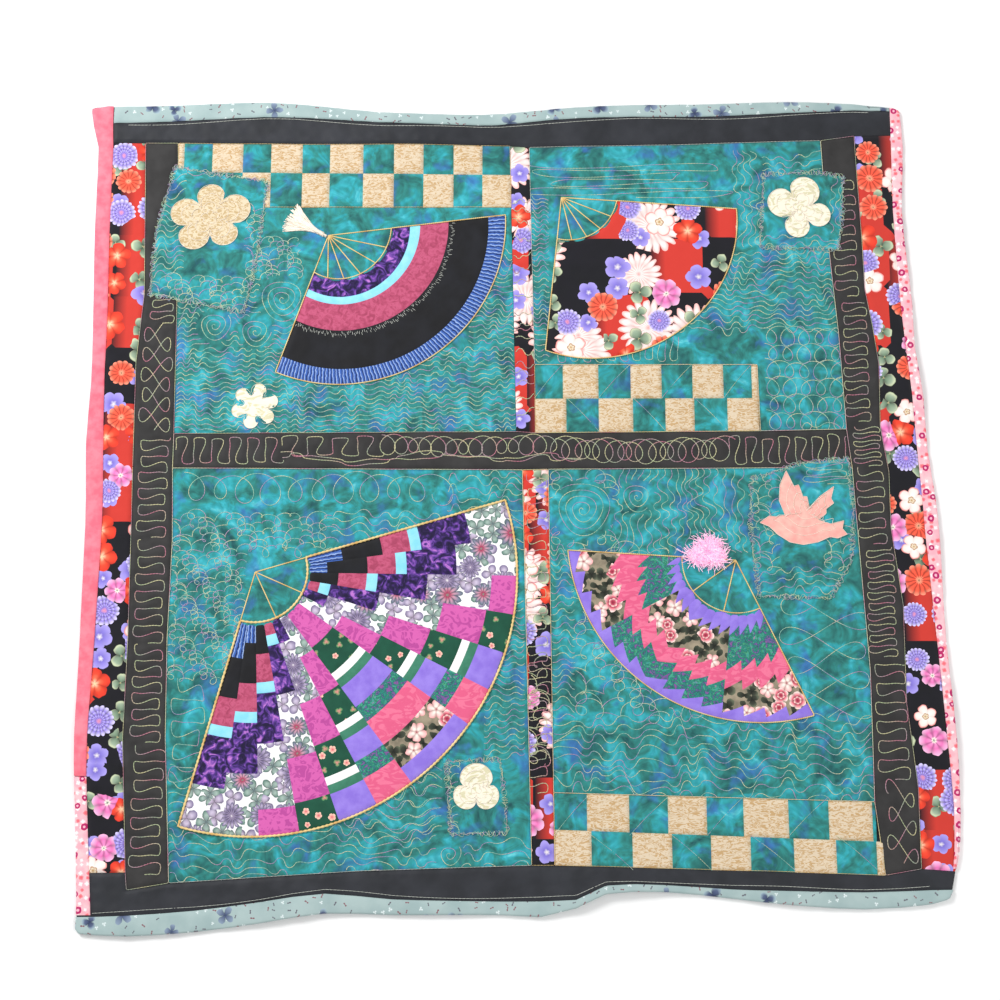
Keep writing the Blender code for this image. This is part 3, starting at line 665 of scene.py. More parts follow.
def solid_outline(node: Object) -> Array:
    """Reads a solid's outline, seen from above, from its upper faces.

    Args:
        node: the frame's solid.

    Returns:
        The outline's points, anticlockwise, in millimetres.
    """
    shape = bmesh.new()
    shape.from_mesh(node.data)
    bmesh.ops.remove_doubles(shape, verts=shape.verts, dist=1e-6)
    shape.normal_update()
    chosen = {face for face in shape.faces if face.normal.z > 0.5}
    following: dict[Any, list[Any]] = {}
    for edge in shape.edges:
        if sum(face in chosen for face in edge.link_faces) == 1:
            for one, other in (edge.verts, reversed(edge.verts)):
                following.setdefault(one, []).append(other)
    best: list[Any] = []
    seen: set[Any] = set()
    for start in following:
        loop, here, before = [], start, None
        while here not in seen:
            seen.add(here)
            loop.append(here)
            ways = [v for v in following[here] if v != before and v not in seen]
            before, here = here, ways[0] if ways else here
        if len(loop) > len(best):
            best = loop
    points = np.array([(v.co.x / MM, v.co.y / MM) for v in best])
    shape.free()
    return points if signed_area(points) > 0 else points[::-1]


def crosswise(way: Array) -> Array:
    """A direction in plan, turned a quarter to its left."""
    return np.array([-way[1], way[0]])


def signed_area(outline: Array) -> float:
    """An outline's area, above 0 where it runs anticlockwise."""
    after = np.roll(outline, -1, axis=0)
    return 0.5 * float(np.sum(outline[:, 0] * after[:, 1] - after[:, 0] * outline[:, 1]))


def resampled(points: Array, step: float, closed: bool = True) -> Array:
    """A line again, with its points about a step apart.

    Args:
        points: the line's points.
        step: the spacing wanted.
        closed: whether the line comes back to its start.

    Returns:
        The new points, without a repeat of the first.
    """
    line = np.vstack([points, points[:1]]) if closed else points
    lengths = np.hypot(*np.diff(line, axis=0).T)
    along = np.concatenate([[0.0], np.cumsum(lengths)])
    count = max(3, int(round(along[-1] / step)))
    places = np.linspace(0.0, along[-1], count + 1)
    made = np.stack([np.interp(places, along, line[:, axis]) for axis in (0, 1)], axis=1)
    return made[:-1] if closed else made


def is_inside(points: Array, outline: Array) -> Array:
    """Tells which points lie inside an outline.

    Args:
        points: the points to test.
        outline: the outline's points in order.

    Returns:
        One truth value for each point.
    """
    x, y = points[:, 0], points[:, 1]
    inside = np.zeros(len(points), bool)
    for (ax, ay), (bx, by) in zip(outline, np.roll(outline, -1, axis=0)):
        if ay != by:
            crosses = (ay > y) != (by > y)
            inside ^= crosses & (x < (bx - ax) * (y - ay) / (by - ay) + ax)
    return inside


class Nearest:
    """The distance in plan to the nearest of many points."""

    def __init__(self, points: Array) -> None:
        """Takes the points, in millimetres."""
        self.tree = kdtree.KDTree(len(points))
        for number, (x, y) in enumerate(points):
            self.tree.insert((x, y, 0.0), number)
        self.tree.balance()

    def gap(self, points: Array) -> Array:
        """The distance from each point to the nearest."""
        return np.array([self.tree.find((x, y, 0.0))[2] for x, y in points])


@dataclass
class Unevenness:
    """A smooth random field, about -1 to 1, summed from plane waves.

    Attributes:
        seed: picks the field.
        length: the waves' mean length, in millimetres.
        waves: how many are summed.
    """

    seed: int
    length: float
    waves: int = 18

    def at(self, points: Array) -> Array:
        """The field's value at each point."""
        rng = np.random.default_rng(self.seed)
        total = np.zeros(len(points))
        for _ in range(self.waves):
            angle = rng.uniform(0.0, math.tau)
            number = math.tau / (self.length * rng.uniform(0.65, 1.7))
            phase = rng.uniform(0.0, math.tau)
            total += np.sin(points[:, 0] * number * math.cos(angle)
                            + points[:, 1] * number * math.sin(angle) + phase)
        return total * math.sqrt(2.0 / self.waves) * 0.6


@dataclass
class ClothForm:
    """The smooth form under the cloths, sampled from the undersides of the frame's solids.

    Attributes:
        nodes: the frame's solids by name.
        pitch: spacing of the samples, in millimetres.
        blend: how far each sample is blended with those around it.
    """

    nodes: dict[str, Object]
    pitch: float = 12.0
    blend: float = 20.0
    low: Array = field(init=False)
    heights: Array = field(init=False)

    def __post_init__(self) -> None:
        """Samples the solids' undersides and blends the samples."""
        corners, faces = [], []
        for name, node in self.nodes.items():
            if name == "quilt_layers" or name.startswith("binding"):
                first = len(corners)
                corners += [vertex.co for vertex in node.data.vertices]
                faces += [[first + i for i in face.vertices] for face in node.data.polygons]
        tree = BVHTree.FromPolygons(corners, faces)
        low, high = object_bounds()
        self.low = np.array([low.x, low.y]) / MM - 4.0 * self.pitch
        steps = ((high.x - low.x) / MM, (high.y - low.y) / MM)
        shape = [int(step / self.pitch) + 10 for step in steps]
        heights = np.full(shape, np.nan)
        for i in range(shape[0]):
            for j in range(shape[1]):
                x, y = self.low + self.pitch * np.array([i, j])
                hit = tree.ray_cast(Vector((x * MM, y * MM, -0.05)), Vector((0.0, 0.0, 1.0)))[0]
                if hit is not None:
                    heights[i, j] = hit.z / MM
        self.heights = self.blended(self.filled(heights))

    def filled(self, heights: Array) -> Array:
        """Gives the samples outside the quilt the heights of their neighbours."""
        while np.isnan(heights).any():
            around = np.stack([np.roll(np.roll(heights, i, 0), j, 1)
                               for i in (-1, 0, 1) for j in (-1, 0, 1)])
            known = ~np.isnan(around)
            total = np.where(known, around, 0.0).sum(0)
            count = known.sum(0)
            mean = np.where(count > 0, total / np.maximum(count, 1), np.nan)
            heights = np.where(np.isnan(heights), mean, heights)
        return heights

    def blended(self, heights: Array) -> Array:
        """Smooths the samples with a bell-shaped kernel."""
        reach = int(3 * self.blend / self.pitch)
        kernel = np.exp(-0.5 * (np.arange(-reach, reach + 1) * self.pitch / self.blend) ** 2)
        kernel /= kernel.sum()
        for axis in (0, 1):
            wide = np.pad(heights, [(reach, reach) if a == axis else (0, 0) for a in (0, 1)],
                          mode="edge")
            heights = np.apply_along_axis(np.convolve, axis, wide, kernel, mode="valid")
        return heights

    def lift(self, points: Array) -> Array:
        """How high the cloth lies off the floor at each point, in millimetres."""
        place = (points - self.low) / self.pitch
        cell = np.clip(place.astype(int), 0, np.array(self.heights.shape) - 2)
        share = np.clip(place - cell, 0.0, 1.0)
        i, j = cell.T
        u, v = share.T
        grid = self.heights
        return ((grid[i, j] * (1 - u) + grid[i + 1, j] * u) * (1 - v)
                + (grid[i, j + 1] * (1 - u) + grid[i + 1, j + 1] * u) * v)


def placed(name: str, data: Any) -> Object:
    """Makes an object from its data and links it to the scene."""
    made = bpy.data.objects.new(name, data)
    bpy.context.scene.collection.objects.link(made)
    return made


def mesh_piece(name: str, points: Array, faces: Sequence[Sequence[int]],
               finishes: Sequence[Any], slots: Sequence[int] = (),
               uv: Array | None = None) -> Object:
    """Makes a piece from points in millimetres.

    Args:
        name: the piece's name.
        points: x, y and z of each point, in millimetres.
        faces: each face's points.
        finishes: the piece's finishes, in the order of its slots.
        slots: each face's slot, or nothing where all take the first.
        uv: each point's place on the cloth, in metres.

    Returns:
        The piece.
    """
    mesh = bpy.data.meshes.new(name)
    mesh.from_pydata((points * MM).tolist(), [], [list(map(int, face)) for face in faces])
    for finish in finishes:
        mesh.materials.append(finish.build())
    if len(slots):
        mesh.polygons.foreach_set("material_index", np.asarray(slots, np.int32))
    if uv is not None:
        layer = mesh.uv_layers.new(name="UVMap")
        corner = np.zeros(len(mesh.loops), np.int32)
        mesh.loops.foreach_get("vertex_index", corner)
        layer.data.foreach_set("uv", uv[corner].astype(np.float32).ravel())
    mesh.shade_smooth()
    mesh.update()
    return placed(name, mesh)


def fitted(piece: Object, slot: str, replaces: Iterable[str] = ()) -> Object:
    """Puts a piece on the quilt's body, hides the solids that it stands for, and logs its faces.

    Args:
        piece: the piece.
        slot: a material slot's name; not used.
        replaces: the frame's solids that it stands for.

    Returns:
        The piece.
    """
    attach(piece, BODY)
    for node in replaces:
        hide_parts(node)
    LOG.info("%s: %d faces", piece.name, len(piece.data.polygons))
    return piece


def laid_sheet(piece: Object, slot: str, node: str, outline: Array) -> None:
    """Fits a cloth in its solid's place, and measures the outline that it was cut to.

    Args:
        piece: the cloth.
        slot: a material slot's name, passed on to fitted.
        node: the solid that it stands for.
        outline: the outline that it was cut to, in millimetres.
    """
    fitted(piece, slot, (node,))
    boxes = []
    for angle in np.radians(np.arange(0.0, 90.0, 3.0)):
        way = np.array([math.cos(angle), math.sin(angle)])
        boxes.append(tuple(float(np.ptp(outline @ side)) * MM for side in (way, crosswise(way))))
    width, length = min(boxes, key=lambda box: box[0] * box[1])
    area = min(abs(signed_area(outline)) * MM * MM, width * length)


def triangulated(outline: Array, pitch: float) -> tuple[Array, list[Any], Array]:
    """Fills an outline with even triangles.

    Args:
        outline: the outline's points, anticlockwise.
        pitch: the triangles' size.

    Returns:
        The points in plan, the triangles, and the outline's own resampled points.
    """
    ring = resampled(outline, 0.85 * pitch)
    low, high = outline.min(0), outline.max(0)
    rows = []
    for number, y in enumerate(np.arange(low[1] + 0.5 * pitch, high[1], 0.88 * pitch)):
        x = np.arange(low[0] + (0.25 + 0.5 * (number % 2)) * pitch, high[0], pitch)
        rows.append(np.stack([x, np.full(len(x), y)], axis=1))
    inner = np.vstack(rows)
    inner = inner[is_inside(inner, outline)]
    inner = inner[Nearest(ring).gap(inner) > 0.6 * pitch]
    points = np.vstack([ring, inner])
    edges = [(i, (i + 1) % len(ring)) for i in range(len(ring))]
    found, _, faces, *_ = geometry.delaunay_2d_cdt(
        [Vector(point) for point in points], edges, [], 1, 1e-4)
    return np.array([tuple(point) for point in found]), faces, ring


class Style(Enum):
    """How a stretch of the quilt is quilted."""

    WAVES = "rows of waves"
    COLUMNS = "columns of waves"
    LOOPS = "rows of round loops"
    CURLS = "close curly stippling"
    RUNGS = "one line in long level rungs"
    POSTS = "one line in upright rungs"
    SPIRAL = "a spiral"
    LEAVES = "long crossing loops"


WAVES, COLUMNS, LOOPS, CURLS, RUNGS, POSTS, SPIRAL, LEAVES = Style


@dataclass(frozen=True)
class Zone:
    """One stretch of quilting: a box of the plan and how it is filled.

    Attributes:
        style: the way it is filled.
        x0, y0, x1, y1: the box, in millimetres.
        pitch: from one row or rung to the next.
        size: the height of a wave or the radius of a loop.
        length: the length of a wave.
        ragged: how much the rungs differ in length.
    """

    style: Style
    x0: float
    y0: float
    x1: float
    y1: float
    pitch: float = 11.0
    size: float = 4.5
    length: float = 25.0
    ragged: float = 0.06

    def middle(self) -> Array:
        """The box's middle."""
        return 0.5 * np.array([self.x0 + self.x1, self.y0 + self.y1])

    def reach(self) -> float:
        """Half the box's width."""
        return 0.5 * (self.x1 - self.x0)

    def climb(self, stride: float) -> tuple[Array, Array]:
        """The angle along a line that climbs the box in turns, and its height."""
        turns = (self.y1 - self.y0) / self.pitch
        t = np.arange(0.0, math.tau * turns, stride * PATH_STEP / (self.x1 - self.x0))
        return t, self.y0 + self.pitch * t / math.tau

    def wave_rows(self) -> list[Array]:
        """Level rows of waves that drift, swell and crowd as a hand guides them."""
        drift, swell, hurry = Unevenness(72, 110.0), Unevenness(71, 55.0), Unevenness(73, 95.0)
        made = []
        for row in np.arange(self.y0 + 0.5 * self.pitch, self.y1, self.pitch):
            x = np.arange(self.x0, self.x1 + PATH_STEP, PATH_STEP)
            plan = np.column_stack([x, np.full(len(x), row)])
            phase = math.tau * (x / self.length + 0.32 * hurry.at(plan))
            tall = self.size * (0.95 + 0.5 * swell.at(plan))
            bent = x - 0.03 * self.length * np.sin(2.0 * phase)
            y = row + 0.6 * self.pitch * drift.at(plan) + tall * np.sin(phase)
            made.append(np.stack([bent, y], axis=1))
        return made

    def loop_rows(self) -> list[Array]:
        """Rows of round loops that run into each other."""
        made = []
        for row in np.arange(self.y0 + 0.5 * self.length, self.y1, self.length):
            turns = (self.x1 - self.x0) / self.pitch
            t = np.arange(0.0, math.tau * turns, PATH_STEP / (1.2 * self.size))
            radius = self.size * (1.0 + 0.18 * np.sin(1.7 * t / math.tau + row))
            x = self.x0 + self.pitch * t / math.tau + radius * np.sin(t)
            y = row + radius * np.cos(t) + 2.0 * np.sin(x / 43.0)
            made.append(np.stack([x, y], axis=1))
        return made

    def curl_rows(self) -> list[Array]:
        """Close rows of uneven curls, some of them crossing."""
        made = []
        for number, row in enumerate(np.arange(self.y0 + 0.5 * self.pitch, self.y1, self.pitch)):
            t = np.arange(0.0, (self.x1 - self.x0) / (0.24 * self.pitch), PATH_STEP / self.pitch)
            swirl = 0.75 * self.pitch * (0.75 + 0.4 * np.sin(0.31 * t + number))
            turn = t + 1.1 * np.sin(0.23 * t + number)
            x = self.x0 + 0.24 * self.pitch * t + swirl * np.sin(turn)
            y = row + 0.85 * swirl * np.cos(turn) + 0.45 * self.pitch * np.sin(0.37 * t + number)
            made.append(np.stack([x, y], axis=1))
        return made

    def rungs(self) -> list[Array]:
        """One line to and fro in level rungs with round ends."""
        t, y = self.climb(2.6)
        uneven = 1.0 + self.ragged * (np.sin(2.3 * t / math.tau) - np.cos(0.9 * t) - 0.8)
        across = np.tanh(1.5 * np.sin(t)) / math.tanh(1.5) * self.reach() * uneven
        bow = 2.0 * np.sin(3.0 * across / self.reach())
        return [np.stack([self.middle()[0] + across, y - self.size * np.sin(2.0 * t) + bow], axis=1)]

    def spiral(self) -> list[Array]:
        """A spiral from the box's middle out to its sides."""
        t = np.arange(0.5, math.tau * self.reach() / self.pitch, 0.14)
        far = self.pitch * t / math.tau * (1.0 + 0.06 * np.sin(3.0 * t))
        return [self.middle() + np.stack([far * np.cos(t), far * np.sin(t)], axis=1)]

    def leaves(self) -> list[Array]:
        """Long loops from side to side that cross at their middles."""
        t, y = self.climb(2.4)
        x = self.middle()[0] + self.reach() * np.sin(t) * (1.0 + 0.1 * np.sin(0.4 * t))
        return [np.stack([x, y + self.size * np.sin(2.0 * t)], axis=1)]

    def lines(self) -> list[Array]:
        """The zone's sewn lines.

        Returns:
            Each line's points in plan, in millimetres.
        """
        upright = {COLUMNS: WAVES, POSTS: RUNGS}
        if self.style in upright:
            turned = replace(self, style=upright[self.style], x0=self.y0, y0=self.x0,
                             x1=self.y1, y1=self.x1)
            return [line[:, ::-1] for line in turned.lines()]
        return {WAVES: self.wave_rows, LOOPS: self.loop_rows, CURLS: self.curl_rows,
                RUNGS: self.rungs, SPIRAL: self.spiral, LEAVES: self.leaves}[self.style]()


def disc(x: float, y: float, radius: float, pitch: float) -> Zone:
    """A round spiral zone, by its middle and radius."""
    return Zone(SPIRAL, x - radius, y - radius, x + radius, y + radius, pitch)


QUILTING = {
    "block_upper_left": (
        disc(-345, 315, 36, 9),
        disc(-448, 272, 25, 8),
        disc(-385, 262, 24, 8),
        Zone(WAVES, -511, 101, 13, 238, 7.5, 3.2, 23),
        Zone(WAVES, -511, 238, -300, 345, 8, 3.4, 24),
        Zone(WAVES, -60, 238, 13, 430, 8, 3.4, 24),
        Zone(CURLS, -420, 345, -318, 420, 10),
    ),
    "block_upper_right": (
        Zone(RUNGS, 48, 482, 352, 538, 15, 4.2, ragged=0.22),
        Zone(WAVES, 36, 214, 64, 490, 8, 3, 17),
        Zone(COLUMNS, 352, 400, 394, 560, 11, 5, 30),
        Zone(WAVES, 262, 262, 520, 400, 9, 4.6, 29),
        Zone(POSTS, 70, 214, 262, 262, 19, 3),
        Zone(LOOPS, 392, 108, 515, 262, 24, 14, 27),
        Zone(WAVES, 384, 100, 516, 112, 13),
        Zone(WAVES, 398, 524, 506, 560, 12, 3),
    ),
    "block_lower_left": (
        Zone(LOOPS, -486, -10, -90, 44, 37, 21, 50),
        Zone(CURLS, -500, -84, -262, -20, 12),
        Zone(WAVES, -262, -62, 24, -16, 11, 5, 32),
        Zone(WAVES, -90, -16, 24, 44, 12, 5, 28),
        Zone(CURLS, -500, -276, -392, -84, 10),
        Zone(RUNGS, -490, -436, -440, -276, 33, 7, ragged=0.15),
        Zone(WAVES, -34, -390, 24, -62, 9, 3.4, 24),
        disc(-84, -528, 17, 8),
        Zone(WAVES, -490, -566, -104, -400, 13, 5, 38),
        Zone(WAVES, -104, -550, 34, -505, 14, 5, 34),
        Zone(WAVES, -230, -505, -96, -360, 14, 6, 37),
    ),
    "block_lower_right": (
        disc(112, -18, 44, 10),
        disc(194, 2, 23, 8),
        Zone(CURLS, 64, -74, 160, 44, 14),
        Zone(COLUMNS, 160, -84, 362, 46, 11, 5.5, 32),
        Zone(WAVES, 62, -330, 98, -74, 10, 5, 26),
        Zone(CURLS, 98, -330, 236, -70, 17),
        Zone(WAVES, 62, -450, 534, -330, 12.5, 6.5, 40),
        Zone(LEAVES, 404, -330, 530, -156, 44, 18),
        Zone(WAVES, 236, -330, 404, -300, 14, 6.5, 37),
    ),
    "sashing_left": (
        Zone(RUNGS, -546, 276, -510, 350, 19, 3.5, ragged=0.12),
        Zone(LEAVES, -556, 106, -512, 268, 32, 15),
        Zone(RUNGS, -554, -60, -510, 96, 25, 4.5),
        Zone(RUNGS, -552, -220, -508, -66, 26, 4.5),
        Zone(RUNGS, -550, -366, -506, -224, 24, 4.5),
        Zone(RUNGS, -544, -556, -498, -372, 27, 4.5),
    ),
    "sashing_right": (
        Zone(RUNGS, 504, 320, 540, 520, 25, 4),
        Zone(RUNGS, 512, 120, 550, 312, 21, 4),
        Zone(RUNGS, 522, 50, 564, 112, 13, 2),
        Zone(RUNGS, 524, -70, 566, 46, 24, 4),
        Zone(RUNGS, 532, -240, 574, -76, 16, 3),
        Zone(RUNGS, 538, -420, 584, -246, 28, 5),
        Zone(LEAVES, 548, -540, 588, -426, 40, 15),
    ),
    "sashing_middle": (
        Zone(POSTS, -500, 54, -340, 96, 27, 5),
        Zone(POSTS, -340, 66, -190, 98, 38, 7, ragged=0.1),
        Zone(LOOPS, -190, 54, 66, 110, 19, 14, 56),
        Zone(LOOPS, 72, 47, 330, 103, 16, 17, 56),
        Zone(POSTS, 334, 54, 514, 98, 25, 5, ragged=0.1),
        Zone(WAVES, -340, 55, 110, 65, 10, 4, 92),
        Zone(WAVES, -340, 60, 110, 68, 8, 3, 150),
    ),
    "strip_upper": (Zone(WAVES, 8, 120, 40, 480, 20, 3, 18),),
    "strip_lower": (
        Zone(RUNGS, 28, -440, 58, 36, 24, 3),
        Zone(CURLS, 30, -400, 62, -240, 13),
    ),
    "patch_upper_left": (
        Zone(CURLS, -546, 296, -376, 350, 11),
        Zone(WAVES, -546, 350, -500, 520, 11, 5, 30),
        Zone(CURLS, -404, 350, -376, 470, 12),
        Zone(WAVES, -500, 508, -376, 530, 11, 4, 30),
    ),
    "patch_upper_right": (
        Zone(WAVES, 392, 398, 522, 422, 11, 4),
        Zone(COLUMNS, 500, 422, 522, 520, 11, 4),
    ),
    "patch_lower_right": (
        Zone(RUNGS, 446, 22, 514, 62, 11, 3, ragged=0.12),
        Zone(CURLS, 364, -110, 404, 40, 12),
        Zone(CURLS, 470, -110, 516, -50, 12),
        Zone(WAVES, 364, -152, 517, -106, 11, 4),
    ),
    "patch_lower_middle": (Zone(CURLS, -90, -499, -74, -391, 8),),
}


@dataclass(frozen=True)
class FanShape:
    """A fan leaf's plan: a pivot, two sides, and an inner and an outer arc.

    Attributes:
        pivot: the pivot's x and y, in millimetres.
        sides: the angles of the first and the second side, in degrees.
        inner: the inner arc's radius at both sides.
        outer: the outer arc's radius at the first side, the middle and the second side.
    """

    pivot: tuple[float, float]
    sides: tuple[float, float]
    inner: tuple[float, float]
    outer: tuple[float, float, float]

    def turn(self) -> float:
        """The angle between the sides, in radians."""
        return math.radians(abs(self.sides[1] - self.sides[0]))

    def radius(self, share: Array, values: Sequence[float]) -> Array:
        """A radius that runs smoothly through two or three values."""
        if len(values) == 2:
            return values[0] + (values[1] - values[0]) * share
        first, middle, last = values
        return (first * (1 - share) * (1 - 2 * share) + 4 * middle * share * (1 - share)
                + last * share * (2 * share - 1))

    def point(self, share: Array, radius: Array) -> Array:
        """Places in plan, by the share of the way between the sides and the radius."""
        angle = np.radians(self.sides[0] + (self.sides[1] - self.sides[0]) * share)
        return np.stack([self.pivot[0] + radius * np.cos(angle),
                         self.pivot[1] + radius * np.sin(angle)], axis=-1)

    def arc(self, values: Sequence[float]) -> Array:
        """Points along an arc of the fan from its first side to its second."""
        share = np.linspace(0.0, 1.0, 160)
        return self.point(share, self.radius(share, values))

    def leaf(self) -> Array:
        """The leaf's outline."""
        return np.vstack([self.arc(self.outer), self.arc(self.inner)[::-1]])

    def sector(self) -> Array:
        """The outline of the whole fan, from its pivot to its outer arc."""
        return np.vstack([self.arc(self.outer), [self.pivot]])

    def sticks(self, count: int) -> list[Array]:
        """The fan's sticks, from its pivot to its inner arc, with both sides among them."""
        made = []
        for number in range(count + 1):
            share = np.full(40, number / count)
            made.append(self.point(share, self.radius(share, self.inner) * np.linspace(0, 1, 40)))
        return made

    def edge_gap(self, share: Array, radius: Array) -> Array:
        """How far a place lies inside the leaf's edge, in millimetres."""
        return np.minimum.reduce([
            self.radius(share, self.outer) - radius, radius - self.radius(share, self.inner),
            share * self.turn() * radius, (1.0 - share) * self.turn() * radius])


FAN_SHAPES = {
    "fan_striped": FanShape((-277, 419), (7.0, -109.0), (98, 64), (276, 254, 234)),
    "fan_printed": FanShape((84, 482), (-4.0, -96.0), (86, 69), (272, 282, 251)),
    "fan_stepped": FanShape((-375, -113), (16.5, -105.0), (78, 76), (387, 391, 388)),
    "fan_zigzag": FanShape((339, -95), (-183.5, -65.0), (80, 80), (250, 232, 256)),
}
STICKS = {"fan_striped": 6, "fan_printed": 5, "fan_stepped": 3, "fan_zigzag": 3}
MOTIF_PATCHES = ("patch_upper_left", "patch_upper_right", "patch_lower_right", "patch_lower_middle")


def clipped(line: Array, inside: Array, outside: Sequence[Array],
            fewest: int = 7) -> list[Array]:
    """The stretches of a line inside one outline and outside others.

    Args:
        line: the line's points.
        inside: the outline that it must lie in.
        outside: the outlines that it must keep out of.
        fewest: the fewest points of a stretch worth keeping.

    Returns:
        The stretches.
    """
    kept = is_inside(line, inside)
    for outline in outside:
        kept &= ~is_inside(line, outline)
    breaks = np.flatnonzero(np.diff(kept.astype(int))) + 1
    runs = np.split(line, breaks)
    starts = np.concatenate([[0], breaks])
    return [run for run, start in zip(runs, starts) if kept[start] and len(run) >= fewest]


@dataclass
class SewnLines:
    """All the lines that are sewn through the quilt, by the cloth that they lie on.

    Attributes:
        outlines: each solid's outline by name.
        quilting: the free-hand lines by cloth.
    """

    outlines: dict[str, Array]
    quilting: dict[str, list[Array]] = field(default_factory=dict)
    nearest: Nearest = field(init=False)

    def __post_init__(self) -> None:
        """Lays out the zones, clips them to their cloths, and indexes every line."""
        keep_out = [shape.sector() for shape in FAN_SHAPES.values()]
        keep_out += [self.outlines[name] for name in MOTIF_PATCHES]
        keep_out.append(self.outlines["motif_rose"])
        for name, zones in QUILTING.items():
            taken: list[Array] = []
            avoided = [] if name in MOTIF_PATCHES else keep_out
            self.quilting[name] = []
            for zone in zones:
                for line in zone.lines():
                    self.quilting[name] += clipped(line, self.outlines[name], avoided + taken)
                if zone.style is SPIRAL:
                    t = np.linspace(0.0, math.tau, 40, endpoint=False)
                    round_ = np.stack([np.cos(t), np.sin(t)], axis=1)
                    taken.append(zone.middle() + (zone.reach() + 3.0) * round_)
        lines = [line for group in self.quilting.values() for line in group]
        for name, shape in FAN_SHAPES.items():
            lines.append(resampled(shape.sector(), PATH_STEP))
            lines += shape.sticks(STICKS[name])
        lines += [resampled(self.outlines[name], PATH_STEP) for name in MOTIF_PATCHES]
        self.nearest = Nearest(np.vstack(lines))


@dataclass
class QuiltTop:
    """The quilted surface: where its cloths lie, between sewn lines and seams.

    Attributes:
        form: the smooth form under the cloths.
        sewn: the sewn lines.
    """

    form: ClothForm
    sewn: SewnLines
    slow: Unevenness = field(default_factory=lambda: Unevenness(3, 120.0))
    crinkle: Unevenness = field(default_factory=lambda: Unevenness(7, 26.0))
    pucker: Unevenness = field(default_factory=lambda: Unevenness(11, 15.0))

    def level(self, points: Array) -> Array:
        """The height of the top's sewn-down surface at each point, in millimetres."""
        return self.form.lift(points) + TOP_LEVEL + 0.35 * self.slow.at(points)

    def height(self, points: Array, seam_gap: Array) -> Array:
        """The height of a cloth of the top, puffed between its sewn lines.

        Args:
            points: the places in plan.
            seam_gap: how far each lies from the nearest seam.

        Returns:
            The heights in millimetres.
        """
        sewn = self.sewn.nearest.gap(points)
        puff = PUFF * (1.0 - np.exp(-(sewn / PUFF_REACH) ** 2))
        covered = np.zeros(len(points), bool)
        for name, outline in self.sewn.outlines.items():
            if name.startswith("binding"):
                covered |= is_inside(points, outline)
                seam_gap = np.minimum(seam_gap, Nearest(resampled(outline, 2.0)).gap(points))
        seam = np.exp(-(seam_gap / SEAM_REACH) ** 2)
        uneven = 0.4 * self.crinkle.at(points) * np.clip(sewn / 8.0, 0.2, 1.0)
        uneven += 0.4 * self.pucker.at(points) * np.exp(-(seam_gap / 11.0) ** 2)
        top = self.level(points) + (puff + uneven) * (1.0 - seam) - SEAM_DIP * seam
        return np.where(covered, self.form.lift(points) + UNDER_BINDING, top)

    def cloth(self, name: str, outline: Array, finish: Cotton, rise: float,
              pitch: float) -> Object:
        """Cuts a cloth to an outline and lays it on the quilt.

        Args:
            name: the piece's name.
            outline: the cut, in millimetres.
            finish: its cloth.
            rise: how far it lies above the pieced top, or 0 in it.
            pitch: the size of its triangles.

        Returns:
            The cloth.
        """
        plan, faces, ring = triangulated(outline, pitch)
        gap = Nearest(resampled(ring, 1.0)).gap(plan)
        if rise:
            puff = PUFF if rise < ON_PATCH_RISE else 0.5 * PUFF
            sewn = np.minimum(gap, self.sewn.nearest.gap(plan)) if rise < ON_PATCH_RISE else gap
            soft = 1.0 - np.exp(-(sewn / PUFF_REACH) ** 2)
            z = self.level(plan) + rise + (puff + 0.3 * self.crinkle.at(plan)) * soft
        else:
            z = self.height(plan, gap)
        return mesh_piece(name, np.column_stack([plan, z]), faces, (finish,))


@dataclass(frozen=True)
class Cut:
    """Cloths that are cut whole from one finish, each to its solid's outline.

    Attributes:
        finish: the cloth.
        slot: its material slot's name.
        nodes: the solids that they stand for.
        pitch: the size of their triangles.
        rise: how far they lie above the pieced top, where they are sewn on it.
    """

    finish: Cotton
    slot: str
    nodes: tuple[str, ...]
    pitch: float = CLOTH_PITCH
    rise: float = 0.0

    def build(self, top: QuiltTop, outlines: dict[str, Array]) -> None:
        """Cuts and lays each cloth."""
        for node in self.nodes:
            outline = outlines[node]
            piece = top.cloth(node + "_cloth", outline, self.finish, self.rise, self.pitch)
            laid_sheet(piece, self.slot, node, outline)


PIECED_TOP = (
    Cut(Finish.teal, "teal", ("block_upper_left", "block_upper_right", "block_lower_left",
                              "block_lower_right")),
    Cut(Finish.flowers_strip, "floral", ("strip_upper", "strip_lower")),
    Cut(Finish.sashing, "charcoal", ("sashing_middle", "sashing_left", "sashing_right")),
    Cut(Finish.charcoal, "charcoal", ("band_top", "band_bottom")),
    Cut(Finish.flowers_left, "floral", ("border_left",)),
    Cut(Finish.flowers_right, "floral", ("border_right",)),
)
APPLIQUES = (
    Cut(Finish.teal, "teal", MOTIF_PATCHES, FINE_PITCH, APPLIQUE_RISE),
    Cut(Finish.warm_cream, "cream", ("motif_blossom",), MOTIF_PITCH, ON_PATCH_RISE),
    Cut(Finish.cream, "cream", ("motif_butterfly",), MOTIF_PITCH, ON_PATCH_RISE),
    Cut(Finish.soft_pink, "soft_pink", ("motif_bird",), MOTIF_PITCH, ON_PATCH_RISE),
    Cut(Finish.cream, "cream", ("motif_tulip",), MOTIF_PITCH, ON_PATCH_RISE),
    Cut(Finish.cream, "cream", ("motif_rose",), MOTIF_PITCH, APPLIQUE_RISE),
)


@dataclass
class Patch:
    """One small piece of a patchwork: its grid of places, its cloth and its map.

    Attributes:
        grid: x and y of each point, as rows and columns.
        rim: how far each point lies inside the patch's own seams.
        edge: how far each point lies inside the whole patchwork's edge.
        finish: its cloth.
        sides: the patch's size along its rows and columns, in millimetres.
    """

    grid: Array
    rim: Array
    edge: Array
    finish: Any
    sides: tuple[float, float]


